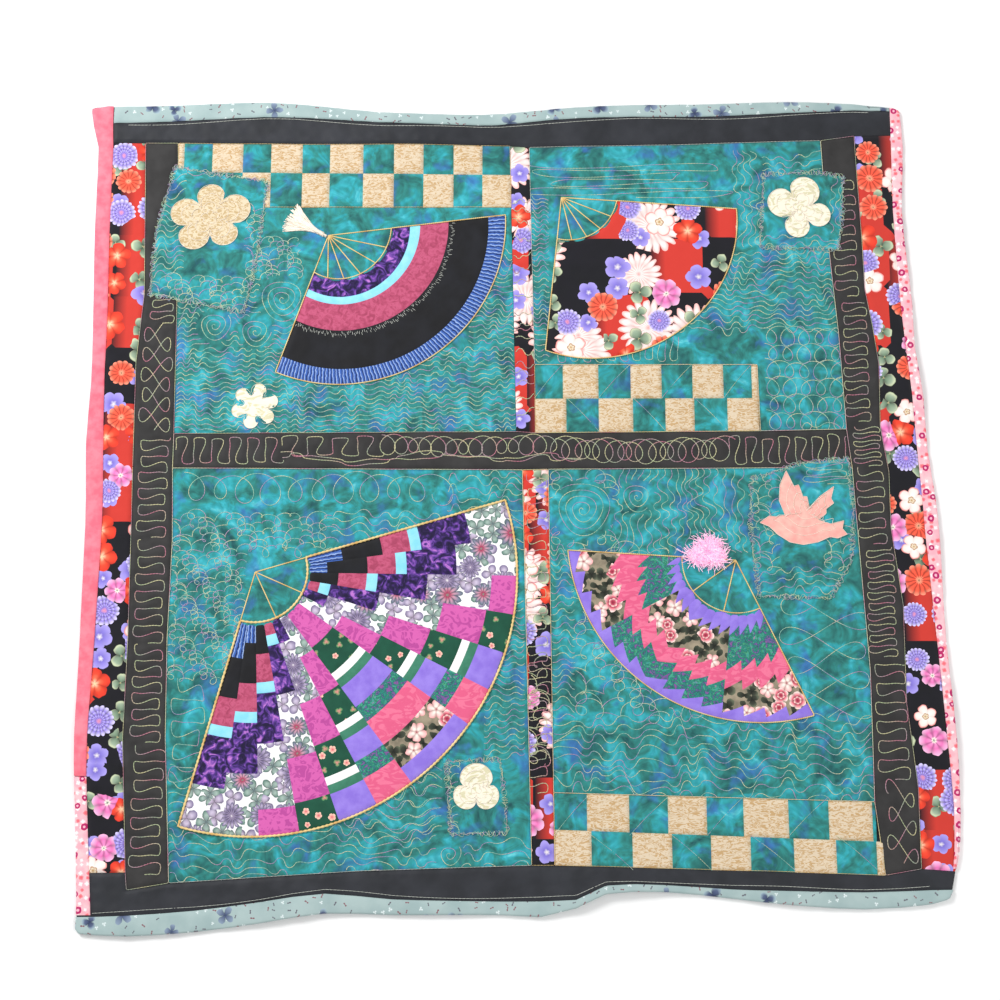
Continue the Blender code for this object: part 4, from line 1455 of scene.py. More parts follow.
def grid_faces(index: Array) -> Array:
    """The four-sided faces between a grid's points, from the points' numbers."""
    return np.stack([index[:-1, :-1], index[1:, :-1], index[1:, 1:], index[:-1, 1:]],
                    axis=-1).reshape(-1, 4)


def grid_shares(rows: int, columns: int) -> tuple[Array, Array]:
    """The shares of the way along a grid's rows and along its columns."""
    return np.linspace(0, 1, rows)[:, None], np.linspace(0, 1, columns)[None, :]


def patchwork(name: str, patches: Sequence[Patch],
              height: Callable[..., Array]) -> Object:
    """Joins small pieces of cloth to one patchwork.

    Args:
        name: the patchwork's name.
        patches: the pieces.
        height: gives heights from places, rims and edges.

    Returns:
        The patchwork.
    """
    finishes: list[Any] = []
    points, faces, slots, uvs = [], [], [], []
    first = 0
    for patch in patches:
        if patch.finish not in finishes:
            finishes.append(patch.finish)
        rows, columns = patch.grid.shape[:2]
        plan = patch.grid.reshape(-1, 2)
        z = height(plan, patch.rim.ravel(), patch.edge.ravel())
        points.append(np.column_stack([plan, z]))
        u, v = np.meshgrid(np.linspace(0, patch.sides[0] * MM, rows),
                           np.linspace(0, patch.sides[1] * MM, columns), indexing="ij")
        uvs.append(np.column_stack([u.ravel(), v.ravel()]))
        quads = grid_faces(first + np.arange(rows * columns).reshape(rows, columns))
        a, b, c = (patch.grid[0, 0], patch.grid[-1, 0], patch.grid[0, -1])
        if (b[0] - a[0]) * (c[1] - a[1]) - (b[1] - a[1]) * (c[0] - a[0]) < 0:
            quads = quads[:, ::-1]
        faces.append(quads)
        slots.append(np.full(len(quads), finishes.index(patch.finish)))
        first += rows * columns
    return mesh_piece(name, np.vstack(points), np.vstack(faces), finishes,
                      np.concatenate(slots), np.vstack(uvs))


def rim_of(rows: int, columns: int, width: float, length: float) -> Array:
    """How far each point of a patch's grid lies inside its own seams."""
    u, v = grid_shares(rows, columns)
    return np.minimum(np.minimum(u, 1 - u) * width, np.minimum(v, 1 - v) * length)


@dataclass
class ChequerBand:
    """A band of two rows of squares, tan and teal by turns.

    Attributes:
        node: the solid that it stands for.
        rows: heights of the band's three level lines at its left and right ends.
        lines: places of the upright seams in the upper and in the lower row.
        teal_first: whether the upper row's first patch is teal.
    """

    node: str
    rows: tuple[tuple[float, float], tuple[float, float], tuple[float, float]]
    lines: tuple[tuple[float, ...], tuple[float, ...]]
    teal_first: bool

    def squares(self) -> list[tuple[int, float, float, bool]]:
        """Each square's row, its left and right seam, and whether it is teal."""
        return [(row, x0, x1, (number + row) % 2 == (0 if self.teal_first else 1))
                for row, lines in enumerate(self.lines)
                for number, (x0, x1) in enumerate(zip(lines, lines[1:]))]

    def patches(self) -> list[Patch]:
        """The squares of both rows."""
        made = []
        left, right = self.lines[0][0], self.lines[0][-1]
        for row, x0, x1, teal in self.squares():
            low, high = ([start + (end - start) * (x - left) / (right - left) for x in (x0, x1)]
                         for start, end in (self.rows[row + 1], self.rows[row]))
            length = abs(high[0] - low[0])
            rows = max(2, round((x1 - x0) / FINE_PITCH)) + 1
            columns = round(length / FINE_PITCH) + 1
            u, v = grid_shares(rows, columns)
            lower = low[0] + (low[1] - low[0]) * u
            upper = high[0] + (high[1] - high[0]) * u
            grid = np.stack([(x0 + (x1 - x0) * u) + 0.0 * v, lower + (upper - lower) * v], -1)
            rim = rim_of(rows, columns, x1 - x0, length)
            made.append(Patch(grid, rim, rim, Finish.teal if teal else Finish.tan,
                              (x1 - x0, length)))
        return made

    def build(self, top: QuiltTop, outline: Array) -> None:
        piece = patchwork(self.node + "_cloth", self.patches(),
                          lambda plan, rim, edge: top.height(plan, rim))
        laid_sheet(piece, "chequer", self.node, outline)


CHEQUER_BANDS = (
    ChequerBand("chequer_upper_left", ((573, 568), (525, 520), (466, 466)), (
        (-515, -505, -461, -413, -369, -320, -277, -225, -177, -131, -84, -39, 5),
        (-513, -505, -461, -413, -369, -320, -277, -225, -177, -131, -84, -39, 6)), False),
    ChequerBand("chequer_upper_right", ((210, 210), (156, 157), (102, 105)), (
        (41, 84, 138, 187, 234, 281, 328, 371, 381),
        (41, 89, 138, 190, 239, 283, 333, 381)), True),
    ChequerBand("chequer_lower_right", ((-439, -452), (-492, -509), (-543, -557)), (
        (66, 114, 175, 231, 287, 340, 405, 463, 526, 531),
        (67, 120, 179, 236, 292, 349, 411, 472, 530, 541)), True),
)


@dataclass
class Fan:
    """A fan leaf of sewn-on cloth.

    Attributes:
        node: the solid that it stands for, also passed on as its material slot's name.
    """

    node: str

    def shape(self) -> FanShape:
        """The fan's plan."""
        return FAN_SHAPES[self.node]

    def patch(self, shares: tuple[float, float], sizes: Sequence[float],
              ends: Callable[..., Sequence[Array]], finish: Any, fewest: int = 2) -> Patch:
        """A patch between two shares of the way round.

        Args:
            shares: where it starts and ends between the fan's sides.
            sizes: the mean radii of its inner and its outer end.
            ends: gives both ends' radii, from the share and from the way across the patch.
            finish: its cloth.
            fewest: its fewest steps from end to end.

        Returns:
            The patch.
        """
        shape = self.shape()
        near, far = sizes
        turn = shape.turn() * (shares[1] - shares[0])
        rows = max(fewest + 1, math.ceil(far * turn / FINE_PITCH)) + 1
        columns = max(fewest, math.ceil((far - near) / FINE_PITCH)) + 1
        u, v = grid_shares(rows, columns)
        share = shares[0] + (shares[1] - shares[0]) * u + 0.0 * v
        low, high = ends(share, u)
        radius = np.clip(low + (high - low) * v, shape.radius(share, shape.inner),
                         shape.radius(share, shape.outer))
        width = 0.5 * (near + far) * turn
        return Patch(shape.point(share, radius), rim_of(rows, columns, width, far - near),
                     shape.edge_gap(share, radius), finish, (width, far - near))

    def blade(self, shares: tuple[float, float], first: Sequence[float], last: Sequence[float],
              finish: Any) -> Patch:
        """A patch between two shares of the way round and two arcs."""
        shape = self.shape()
        middle = np.array(0.5 * (shares[0] + shares[1]))
        sizes = [float(shape.radius(middle, arc)) for arc in (first, last)]
        return self.patch(shares, sizes,
                          lambda share, u: [shape.radius(share, arc) for arc in (first, last)],
                          finish)

    def patches(self) -> list[Patch]:
        """The fan's patches, which each fan lays out in its own way."""
        raise NotImplementedError

    def build(self, top: QuiltTop) -> None:
        def height(plan: Array, rim: Array, edge: Array) -> Array:
            soft = 1.0 - np.exp(-(edge / PUFF_REACH) ** 2)
            seam = 0.55 * np.exp(-(rim / 1.7) ** 2)
            swell = 0.3 * (1.0 - np.exp(-(rim / 7.0) ** 2)) + 0.25 * top.crinkle.at(plan)
            return top.level(plan) + APPLIQUE_RISE + (PUFF + swell) * soft - seam

        piece = patchwork(self.node + "_cloth", self.patches(), height)
        laid_sheet(piece, self.node, self.node, self.shape().leaf())


class StripedFan(Fan):
    """The fan of concentric bands."""

    def patches(self) -> list[Patch]:
        """One curved strip for each band, from the inner arc outwards."""
        arcs = ((98, 81, 64), (127, 112, 92), (143, 125, 104), (187, 168, 146), (249, 231, 207),
                (276, 254, 234))
        cloths = (Finish.purple, Finish.light_blue, Finish.mauve, Finish.black, Finish.blue_rib)
        return [self.blade((0.0, 1.0), near, far, cloth)
                for near, far, cloth in zip(arcs, arcs[1:], cloths)]


class PrintedFan(Fan):
    """The fan cut from one large-flowered print."""

    def patches(self) -> list[Patch]:
        """One piece of cloth."""
        return [self.blade((0.0, 1.0), self.shape().inner, self.shape().outer, Finish.flowers_fan)]


class SteppedFan(Fan):
    """The fan of blades pieced from one set of strips, each blade a step further along it."""

    STRIPS = (
        (Finish.blue_rib, 53), (Finish.black, 60), (Finish.mauve, 42), (Finish.light_blue, 16),
        (Finish.purple, 74), (Finish.leaf_print, 95), (Finish.magenta, 65),
        (Finish.dark_green, 49), (Finish.white, 12), (Finish.green, 13), (Finish.lilac, 36),
        (Finish.sea_print, 27), (Finish.rose_pink, 42), (Finish.rose_print, 42),
        (Finish.lilac, 70),
    )
    STEPS = (0.0, 24.0, 67.0, 135.0, 208.0, 272.0, 340.0)

    def patches(self) -> list[Patch]:
        """The blades' patches, the same from both sides to the middle."""
        shape = self.shape()
        blades = 2 * len(self.STEPS)
        made = []
        for number in range(blades):
            shift = self.STEPS[min(number, blades - 1 - number)]
            shares = (number / blades, (number + 1) / blades)
            place = 0.0
            for cloth, length in self.STRIPS:
                near = shape.inner[0] + place - shift
                far = near + length
                place += length
                near, far = max(near, shape.inner[0]), min(far, max(shape.outer))
                if far - near > 3.0:
                    last = shape.outer if far >= min(shape.outer) - 4.0 else (far, far)
                    made.append(self.blade(shares, (near, near), last, cloth))
        return made


class ZigzagFan(Fan):
    """The fan of narrow blades whose slanting ends make zigzag bands."""

    BLADES = 15
    ARCS = ((80, 80, 80), (92, 108, 100), (134, 160, 150), (178, 186, 186), (238, 215, 243),
            (250, 232, 256))
    SLANT = 15.0

    def patches(self) -> list[Patch]:
        """Five bands in every blade, with their prints exchanged round the middle."""
        shape = self.shape()
        made = []
        for number in range(self.BLADES):
            shares = (number / self.BLADES, (number + 1) / self.BLADES)
            near_side = min(number, self.BLADES - 1 - number) < 4
            cloths = (Finish.lilac, Finish.sea_print if near_side else Finish.rose_print,
                      Finish.rose_pink, Finish.rose_print if near_side else Finish.sea_print,
                      Finish.lilac)
            slant = self.SLANT if number < self.BLADES // 2 else -self.SLANT
            for cloth, *arcs in zip(cloths, self.ARCS, self.ARCS[1:]):
                sides = [[float(shape.radius(np.array(share), arc)) for share in shares]
                         for arc in arcs]
                tilts = [0.0 if arc in (self.ARCS[0], self.ARCS[-1]) else slant for arc in arcs]

                def ends(_: Array, u: Array) -> list[Array]:
                    return [start + (end - start) * u + tilt * (u - 0.5)
                            for (start, end), tilt in zip(sides, tilts)]

                made.append(self.patch(shares, [0.5 * sum(pair) for pair in sides], ends, cloth, 3))
        return made


@dataclass
class Tassel:
    """The fan's tassel: a bound neck and a spray of silky threads."""

    top: QuiltTop
    at: tuple[float, float] = (-280.0, 417.0)
    turn: float = 152.0
    spread: float = 40.0
    length: float = 68.0
    count: int = 130

    def build(self, maker: ThreadMaker) -> None:
        """Makes the neck's windings and the threads."""
        rng = np.random.default_rng(5)
        floor = float(self.top.level(np.array([self.at]))[0]) + 1.2
        way = math.radians(self.turn)
        lines = []
        for _ in range(self.count):
            share, height = rng.uniform(-1.0, 1.0), rng.uniform(0.0, 1.0)
            along = np.linspace(0.0, 1.0, 16)
            reach = self.length * rng.uniform(0.84, 1.04)
            angle = way + math.radians(0.5 * self.spread) * share * along ** 1.1
            wave = rng.uniform(-1.6, 1.6) * np.sin(math.tau * along * rng.uniform(0.6, 1.3)) * along
            aside = wave + 1.6 * share
            x = self.at[0] + reach * along * np.cos(angle) - aside * math.sin(way)
            y = self.at[1] + reach * along * np.sin(angle) + aside * math.cos(way)
            z = floor + (1.0 + 4.4 * height) * np.sqrt(np.clip(1.1 - share ** 2, 0.1, 1.0)) * (
                0.55 + 0.6 * np.sin(math.pi * along ** 0.8)) * (1.0 - 0.45 * along)
            lines.append(np.column_stack([x, y, z]))
        turns = np.arange(0.0, math.tau * 7.0, 0.35)
        along = 5.0 + 9.0 * turns / turns[-1]
        across = 3.4 * np.cos(turns)
        lines.append(np.column_stack([
            self.at[0] + along * math.cos(way) - across * math.sin(way),
            self.at[1] + along * math.sin(way) + across * math.cos(way),
            floor + 2.4 + 2.6 * np.sin(turns)]))
        maker.sew("tassel_threads", lines, Finish.cream_silk, radius=0.9, stitch=7.0, pinch=0.2,
                  dip=0.0, sides=4, slot="tassel_thread", replaces=("tassel",))


@dataclass
class Tuft:
    """The fluffy tuft of pink yarn beside the zigzag fan's pivot."""

    top: QuiltTop
    at: tuple[float, float] = (297.0, -85.0)
    count: int = 1000

    def build(self, maker: ThreadMaker) -> None:
        """Makes the yarn's fibres, which spring from a middle and droop."""
        rng = np.random.default_rng(9)
        floor = float(self.top.level(np.array([self.at]))[0]) + 0.6
        lines = []
        for _ in range(self.count):
            around, climb = rng.uniform(0.0, math.tau), rng.uniform(0.03, 1.0) ** 0.8
            reach = rng.uniform(13.0, 28.0) * (1.0 + 0.2 * math.cos(3.0 * around - 4.2))
            along = np.linspace(0.0, 1.0, 9)
            out = rng.uniform(0.0, 6.0) + reach * (math.cos(climb * 1.35) * along + 0.1 * along ** 2)
            rise = 16.0 * math.sin(climb * 1.45) * along * (1.35 - 0.5 * along)
            twist = around + rng.uniform(-0.7, 0.7) * along ** 2
            curl = rng.uniform(-4.5, 4.5) * np.sin(7.0 * along + rng.uniform(0.0, 6.0))
            x = self.at[0] + 1.12 * out * np.cos(twist) + curl * along
            y = self.at[1] + 0.92 * out * np.sin(twist) - curl * along
            z = floor + 0.6 + np.clip(rise, 0.0, 17.0)
            lines.append(np.column_stack([x, y, z]))
        maker.sew("yarn_tuft_fibres", lines, Finish.yarn, radius=0.52, stitch=8.0, pinch=0.2,
                  dip=0.0, slot="yarn_pink", replaces=("yarn_tuft",))


@dataclass
class Binding:
    """A strip of cloth folded over one edge of the quilt.

    Attributes:
        node: the solid that it stands for.
        finish: its cloth.
        slot: its material slot's name.
        axis: 0 where it runs along x, 1 along y.
        outward: 1 or -1, the way to the outside across it.
    """

    node: str
    finish: Cotton
    slot: str
    axis: int
    outward: float
    thickness: float = 5.6
    under: float = 14.0
    step: float = 5.0

    def extent(self, outline: Array, place: float) -> tuple[float, float]:
        """Where the strip's fold and its outer edge lie at a place along it."""
        line = outline[:, ::-1] if self.axis else outline
        found = []
        for (ax, ay), (bx, by) in zip(line, np.roll(line, -1, axis=0)):
            if (ax > place) != (bx > place):
                found.append(ay + (by - ay) * (place - ax) / (bx - ax))
        low, high = min(found), max(found)
        return (low, high) if self.outward > 0 else (high, low)

    def profile(self, width: float) -> list[tuple[float, float]]:
        """The section from the sewn fold over the edge to the underside.

        Args:
            width: from the fold to the outer edge.

        Returns:
            The distance from the fold and the height of each point.
        """
        thick = self.thickness
        round_ = min(0.5 * thick, 0.45 * width)
        made = [(0.0, thick - 1.7), (0.05 * width, thick - 0.5), (0.16 * width, thick - 0.05),
                (0.4 * width, thick + 0.25), (0.7 * width, thick + 0.15)]
        for turn in np.linspace(90.0, -90.0, 8):
            angle = math.radians(turn)
            made.append((width - round_ + round_ * math.cos(angle),
                         0.5 * thick + 0.2 + (0.5 * thick) * math.sin(angle)))
        made.append((width - min(self.under, 0.9 * width), 0.2))
        return made

    def build(self, top: QuiltTop, outline: Array) -> None:
        low, high = outline[:, self.axis].min() + 0.3, outline[:, self.axis].max() - 0.3
        places = np.linspace(low, high, int((high - low) / self.step) + 2)
        ends = np.minimum(places - low, high - places)
        points = []
        pucker = Unevenness(41 + len(self.node), 34.0)
        for place, end in zip(places, ends):
            fold, outer = self.extent(outline, place)
            squash = math.sqrt(min(1.0, (end + 0.6) / 3.0))
            for across, height in self.profile(abs(outer - fold)):
                there = fold + self.outward * across
                plan = (there, place) if self.axis else (place, there)
                points.append((*plan, 0.5 * self.thickness + (height - 0.5 * self.thickness) * squash))
        points = np.array(points)
        wrinkle = 0.45 * pucker.at(points[:, :2]) * (points[:, 2] > 0.6 * self.thickness)
        points[:, 2] += top.form.lift(points[:, :2]) + wrinkle
        faces = grid_faces(np.arange(len(points)).reshape(len(places), -1))
        if (self.outward > 0) == (self.axis == 0):
            faces = faces[:, ::-1]
        piece = mesh_piece(self.node + "_cloth", points, faces, (self.finish,))
        fitted(piece, self.slot, (self.node,))
        width = np.mean([abs(np.subtract(*self.extent(outline, place))) for place in places])


BINDINGS = (
    Binding("binding_top", Finish.blue_grey, "blue_grey", 0, 1.0),
    Binding("binding_bottom", Finish.blue_grey, "blue_grey", 0, -1.0),
    Binding("binding_left_upper", Finish.coral, "pink", 1, -1.0),
    Binding("binding_left_lower", Finish.pink_print, "pink_print", 1, -1.0),
    Binding("binding_right", Finish.pink_print, "pink_print", 1, 1.0),
)


@dataclass
class Backing:
    """The plain backing cloth, which shows from below."""

    top: QuiltTop
    outline: Array
    pitch: float = 9.0

    def build(self) -> None:
        """Lays the backing under everything, with the quilting's dimples in it."""
        plan, faces, _ = triangulated(self.outline, self.pitch)
        sewn = self.top.sewn.nearest.gap(plan)
        dimple = 0.8 * np.exp(-(sewn / PUFF_REACH) ** 2)
        z = self.top.form.lift(plan) + BACKING_LEVEL + dimple
        piece = mesh_piece("backing_cloth", np.column_stack([plan, z]),
                           [face[::-1] for face in faces], (Finish.backing,))
        laid_sheet(piece, "backing", "quilt_layers", self.outline)


class ThreadMaker:
    """Turns sewn lines to thread with Geometry Nodes: it swells along a stitch and dips at its ends."""

    def __init__(self) -> None:
        """Builds the node tree once for all threads."""
        tree = bpy.data.node_groups.new("sewn_thread", "GeometryNodeTree")
        interface = tree.interface
        interface.new_socket("Lines", in_out="INPUT", socket_type="NodeSocketGeometry")
        self.sockets = {}
        for name, kind in (("Stitch length", "NodeSocketFloat"), ("Thread radius", "NodeSocketFloat"),
                           ("Pinch", "NodeSocketFloat"), ("Dip", "NodeSocketFloat"),
                           ("Sides", "NodeSocketInt"), ("Finish", "NodeSocketMaterial")):
            socket = interface.new_socket(name, in_out="INPUT", socket_type=kind)
            self.sockets[name] = socket.identifier
        interface.new_socket("Thread", in_out="OUTPUT", socket_type="NodeSocketGeometry")
        given = add(tree, "NodeGroupInput").outputs
        curve = add(tree, "GeometryNodeMeshToCurve", {"Mesh": given["Lines"]})
        half = add(tree, "ShaderNodeMath", {0: given["Stitch length"], 1: 0.5}, operation="MULTIPLY")
        even = add(tree, "GeometryNodeResampleCurve", {"Curve": curve, "Length": half}, mode="LENGTH")
        number = add(tree, "GeometryNodeInputIndex")
        hole = add(tree, "ShaderNodeMath", {0: number, 1: 2.0}, operation="MODULO")
        less = add(tree, "ShaderNodeMath", {0: hole, 1: given["Pinch"]}, operation="MULTIPLY")
        share = add(tree, "ShaderNodeMath", {0: 1.0, 1: less}, operation="SUBTRACT")
        radius = add(tree, "ShaderNodeMath", {0: share, 1: given["Thread radius"]},
                     operation="MULTIPLY")
        down = add(tree, "ShaderNodeMath", {0: hole, 1: given["Dip"]}, operation="MULTIPLY")
        depth = add(tree, "ShaderNodeMath", {0: down, 1: -1.0}, operation="MULTIPLY")
        offset = add(tree, "ShaderNodeCombineXYZ", {"Z": depth})
        dipped = add(tree, "GeometryNodeSetPosition", {"Geometry": even, "Offset": offset})
        section = add(tree, "GeometryNodeCurvePrimitiveCircle", {
            "Resolution": given["Sides"], "Radius": 1.0})
        tube = add(tree, "GeometryNodeCurveToMesh", {
            "Curve": dipped, "Profile Curve": section.outputs["Curve"], "Scale": radius,
            "Fill Caps": True})
        smooth = add(tree, "GeometryNodeSetShadeSmooth", {"Geometry": tube})
        real = add(tree, "GeometryNodeRealizeInstances", {"Geometry": smooth})
        dressed = add(tree, "GeometryNodeSetMaterial", {
            "Geometry": real, "Material": given["Finish"]})
        add(tree, "NodeGroupOutput", {"Thread": dressed})
        self.tree = tree

    def sew(self, name: str, lines: Sequence[Array], finish: SewingThread, radius: float,
            stitch: float = 4.6, pinch: float = 0.4, dip: float = 0.2, sides: int = 3,
            slot: str = "quilting_thread", replaces: Iterable[str] = ()) -> Object:
        """Makes thread along lines.

        Args:
            name: the piece's name.
            lines: each line's points, in millimetres.
            finish: the thread.
            radius: its radius, in millimetres, drawn thick enough to show a step away.
            stitch: one stitch's length.
            pinch: how much thinner it is where it enters the cloth.
            dip: how much lower it is there.
            sides: the thread's sides.
            slot: a material slot's name, passed on to fitted.
            replaces: the frame's solids that it stands for.

        Returns:
            The thread.
        """
        points = np.vstack(lines)
        edges, tones, first = [], [], 0
        for line in lines:
            steps = np.sqrt((np.diff(line, axis=0) ** 2).sum(1))
            start = 37.0 * (first % 7)
            tones.append(start + np.concatenate([[0.0], np.cumsum(steps)]))
            edges += [(first + i, first + i + 1) for i in range(len(line) - 1)]
            first += len(line)
        mesh = bpy.data.meshes.new(name)
        mesh.from_pydata((points * MM).tolist(), edges, [])
        tone = mesh.attributes.new("tone", "FLOAT", "POINT")
        tone.data.foreach_set("value", np.concatenate(tones).astype(np.float32))
        guide = placed(name + "_guide", mesh)
        modifier = guide.modifiers.new("thread", "NODES")
        modifier.node_group = self.tree
        values = {"Stitch length": stitch * MM, "Thread radius": radius * MM, "Pinch": pinch,
                  "Dip": dip * MM, "Sides": sides, "Finish": finish.build()}
        for label, value in values.items():
            modifier[self.sockets[label]] = value
        graph = bpy.context.evaluated_depsgraph_get()
        made = bpy.data.meshes.new_from_object(guide.evaluated_get(graph))
        made.name = name
        bpy.data.objects.remove(guide)
        bpy.data.meshes.remove(mesh)
        return fitted(placed(name, made), slot, replaces)


@dataclass
class Sewing:
    """All the thread: free-hand quilting, outlines, fan sticks and frayed edges."""

    top: QuiltTop
    outlines: dict[str, Array]
    maker: ThreadMaker

    def laid(self, line: Array, rise: float) -> Array:
        """A line in plan, laid on the sewn-down surface."""
        return np.column_stack([line, self.top.level(line) + rise])

    def edges(self, names: Iterable[str], rise: float) -> list[Array]:
        """The edges of some solids, laid on the surface."""
        return [self.laid(resampled(self.outlines[name], PATH_STEP), rise) for name in names]

    def quilting(self) -> None:
        """Sews the free-hand quilting, one piece of thread for each cloth."""
        for name, lines in self.top.sewn.quilting.items():
            rise = APPLIQUE_RISE + 0.4 if name in MOTIF_PATCHES else 0.4
            laid = [self.laid(line, rise) for line in lines]
            dark = name.startswith(("sashing", "strip"))
            self.maker.sew(name + "_quilting", laid, Finish.sash_thread if dark else Finish.variegated,
                           radius=0.86 if dark else 0.76)

    def sticks(self) -> None:
        """Sews the fans' sticks and gold outlines."""
        for name, shape in FAN_SHAPES.items():
            heavy = name == "fan_stepped"
            edge = resampled(shape.leaf(), PATH_STEP)
            rise = APPLIQUE_RISE + (1.3 if heavy else 0.8)
            lines = [self.laid(np.vstack([edge, edge[:1]]), rise)]
            self.maker.sew(name + "_gold_edging", lines, Finish.gold,
                           radius=2.1 if heavy else 1.1, stitch=6.4 if heavy else 3.0,
                           pinch=0.45, sides=6)
            rods = [self.laid(rod, 0.7) for rod in shape.sticks(STICKS[name])]
            self.maker.sew(name + "_gold_sticks", rods, Finish.gold, radius=1.0, stitch=3.0,
                           pinch=0.3, sides=6)

    def seams(self) -> None:
        """Sews the lines beside the seams of the sashing and inside the bindings."""
        lines = self.edges(("sashing_left", "sashing_right", "sashing_middle"), 0.6)
        self.maker.sew("sashing_edge_thread", lines, Finish.sash_thread, radius=0.55, stitch=4.8)
        lines = self.edges(("chequer_upper_right", "chequer_lower_right", "chequer_upper_left",
                            "strip_lower"), 0.6)
        self.maker.sew("chequer_edge_thread", lines, Finish.gold, radius=0.42, stitch=4.8)
        lines = self.edges(("block_upper_right", "block_lower_left", "block_lower_right"), 0.5)
        for binding in BINDINGS[:2]:
            outline = self.outlines[binding.node]
            x = np.arange(outline[:, 0].min() + 24.0, outline[:, 0].max() - 30.0, 2.0 * PATH_STEP)
            fold = np.array([binding.extent(outline, place)[0] for place in x])
            wander = 5.0 + 1.5 * np.sin(x / 47.0)
            lines.append(self.laid(np.stack([x, fold - binding.outward * wander], axis=1),
                                   PUFF + 0.5))
        self.maker.sew("pale_seam_thread", lines, Finish.pale, radius=0.45, stitch=5.6)

    def dashes(self) -> None:
        """Sews the short grey marks at the inner edge of the striped fan's black band."""
        rng = np.random.default_rng(21)
        shape = FAN_SHAPES["fan_striped"]
        lines = []
        for share in np.arange(0.01, 0.99, 0.008):
            near = float(shape.radius(np.array(share), (187, 168, 146))) + rng.uniform(1.0, 7.0)
            radius = near + np.linspace(0.0, rng.uniform(2.5, 6.0), 4)
            lean = share + rng.uniform(-0.004, 0.004) * np.linspace(0.0, 1.0, 4)
            lines.append(self.laid(shape.point(lean, radius), APPLIQUE_RISE + PUFF + 0.3))
        self.maker.sew("black_band_dashes", lines, Finish.pale, radius=0.4, stitch=3.0,
                       pinch=0.2, dip=0.0)

    def frays(self) -> None:
        """Sews scribbled thread round the edges of the teal patches."""
        for name in MOTIF_PATCHES:
            outline = resampled(self.outlines[name], 1.0)
            after = np.roll(outline, -1, axis=0) - outline
            out = np.column_stack([after[:, 1], -after[:, 0]])
            out /= np.hypot(*out.T)[:, None] + 1e-9
            along = np.arange(len(outline), dtype=float)
            lines = []
            for number, rate in enumerate((0.62, 0.87, 1.13)):
                swing = 3.0 + 2.0 * np.sin(0.083 * along + number)
                shift = swing * np.sin(rate * along + 1.7 * np.sin(0.21 * along + number))
                slide = 2.6 * np.cos(0.71 * rate * along + number)
                line = outline + out * shift[:, None] + after * slide[:, None]
                lines.append(self.laid(line, APPLIQUE_RISE + 0.7))
            self.maker.sew(name + "_frayed_edge", lines, Finish.variegated, radius=0.42,
                           stitch=4.2, pinch=0.3)

    def motifs(self) -> None:
        """Sews the motifs' edges and the lines inside them."""
        for cut in APPLIQUES[1:]:
            name, rise = cut.nodes[0], cut.rise
            outline = resampled(self.outlines[name], 1.5)
            middle = outline.mean(0)
            closed = np.vstack([outline, outline[:1]])
            lines = [self.laid(closed, rise + 0.5)]
            lines += [self.laid(middle + (closed - middle) * size, rise + 0.5 * PUFF + 0.3)
                      for size in (0.72, 0.46, 0.22)]
            self.maker.sew(name + "_edge_thread", lines, Finish.cream_silk, radius=0.5,
                           stitch=2.4, pinch=0.3, dip=0.1)

    def crossings(self) -> None:
        """Sews slanting lines through the teal squares of two of the chequered bands."""
        share = np.linspace(0.0, 1.0, 24)[:, None]
        for band in CHEQUER_BANDS[1:]:
            upper, middle, lower = (sum(pair) / 2 for pair in band.rows)
            lines = []
            for row, x0, x1, teal in band.squares():
                if teal and x1 - x0 > 20:
                    rise = (upper, lower)[row] - middle
                    bow = np.array([[0.0, 2.0]]) * np.sin(math.pi * share)
                    line = np.array([[x0, middle]]) + share * (x1 - x0, rise) + bow
                    lines.append(self.laid(line, PUFF + 0.4))
            self.maker.sew(band.node + "_crossing_lines", lines, Finish.variegated, radius=0.5,
                           stitch=4.4)

    def build(self) -> None:
        """Sews everything."""
        self.quilting()
        self.sticks()
        self.seams()
        self.dashes()
        self.frays()
        self.motifs()
        self.crossings()


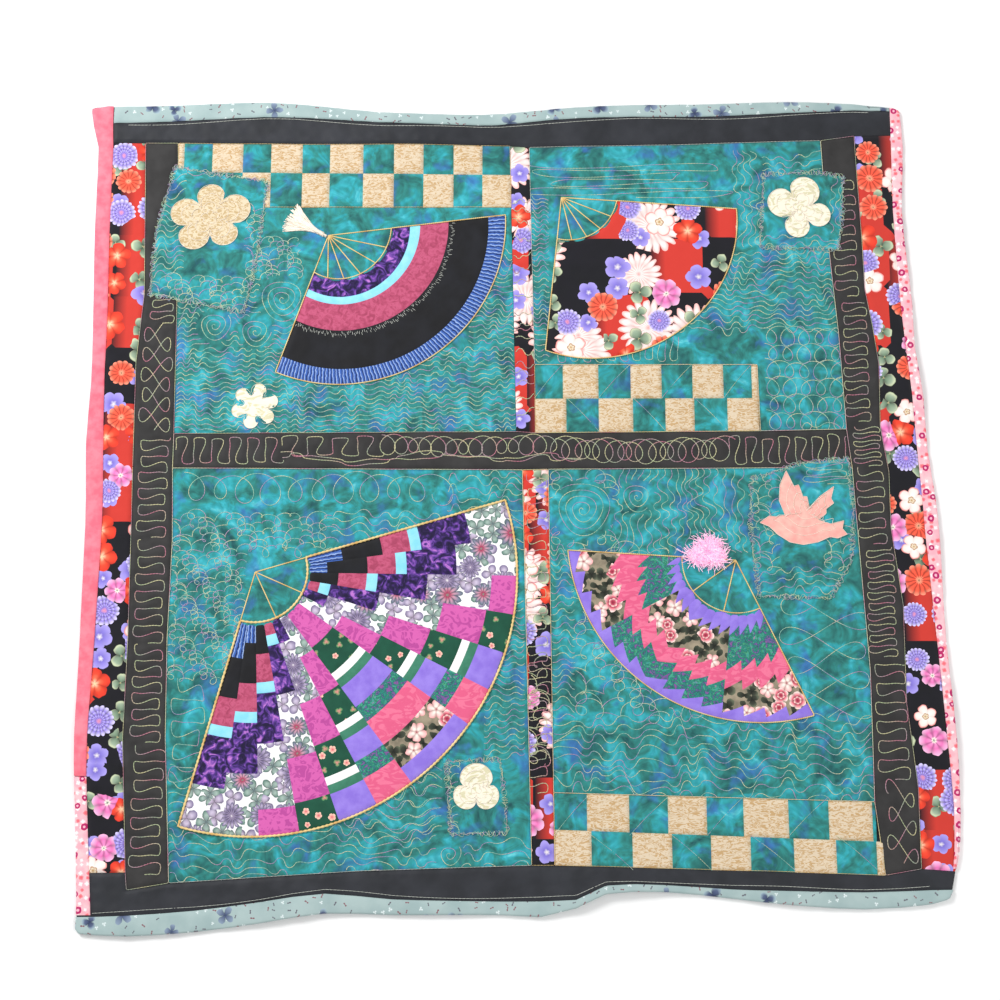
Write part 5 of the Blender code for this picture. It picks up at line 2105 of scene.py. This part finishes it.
def build_camera_and_light() -> None:
    """Sets up the camera at the photograph's angle, a pale floor and soft light."""
    tilt, distance = math.radians(14.0), 3.1
    target = Vector((-0.01157, -0.00161, 0.0))
    camera = bpy.data.cameras.new("camera")
    camera.sensor_width = 36.0
    camera.lens = 74.4
    holder = placed("camera", camera)
    holder.location = target + distance * Vector((0.0, -math.sin(tilt), math.cos(tilt)))
    holder.rotation_euler = (tilt, 0.0, 0.0)
    bpy.context.scene.camera = holder
    floor_mesh = bpy.data.meshes.new("floor")
    floor_mesh.from_pydata([(-6, -6, 0), (6, -6, 0), (6, 6, 0), (-6, 6, 0)], [], [(0, 1, 2, 3)])
    floor_mesh.materials.append(Cotton("pale_floor", "#F6F6F6", "#FAFAFA", 900.0, sheen=0.0,
                                       grain=0.0).build())
    floor = placed("floor", floor_mesh)
    floor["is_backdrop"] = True
    lamps = (("key", (-1.9, 1.5, 2.3), 1.2, 85.0), ("fill", (2.2, -1.2, 2.6), 2.4, 40.0))
    for name, place, size, power in lamps:
        lamp = bpy.data.lights.new(name, "AREA")
        lamp.size = size
        lamp.energy = power
        holder = placed(name, lamp)
        holder.location = place
        holder.rotation_euler = (-Vector(place)).to_track_quat("-Z", "Y").to_euler()
    world = bpy.data.worlds.new("studio")
    world.use_nodes = True
    world.node_tree.nodes["Background"].inputs["Color"].default_value = (1.0, 1.0, 1.0, 1.0)
    world.node_tree.nodes["Background"].inputs["Strength"].default_value = 0.55
    bpy.context.scene.world = world
    bpy.context.scene.view_settings.view_transform = "Standard"


def main() -> None:
    """Builds the quilt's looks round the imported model."""
    logging.basicConfig(level=logging.INFO, format="%(name)s: %(message)s")
    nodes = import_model()["nodes"]
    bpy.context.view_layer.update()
    build_camera_and_light()
    outlines = {name: solid_outline(node) for name, node in nodes.items()
                if name not in ("quilt_layers", "tassel", "yarn_tuft")}
    form = ClothForm(nodes)
    top = QuiltTop(form, SewnLines(outlines))
    Backing(top, solid_outline(nodes["quilt_layers"])).build()
    for cut in PIECED_TOP:
        cut.build(top, outlines)
    for band in CHEQUER_BANDS:
        band.build(top, outlines[band.node])
    for binding in BINDINGS:
        binding.build(top, outlines[binding.node])
    for fan in (StripedFan("fan_striped"), PrintedFan("fan_printed"),
                SteppedFan("fan_stepped"), ZigzagFan("fan_zigzag")):
        fan.build(top)
    for cut in APPLIQUES:
        cut.build(top, outlines)
    maker = ThreadMaker()
    Sewing(top, outlines, maker).build()
    Tassel(top).build(maker)
    Tuft(top).build(maker)


if __name__ == "__main__":
    main()
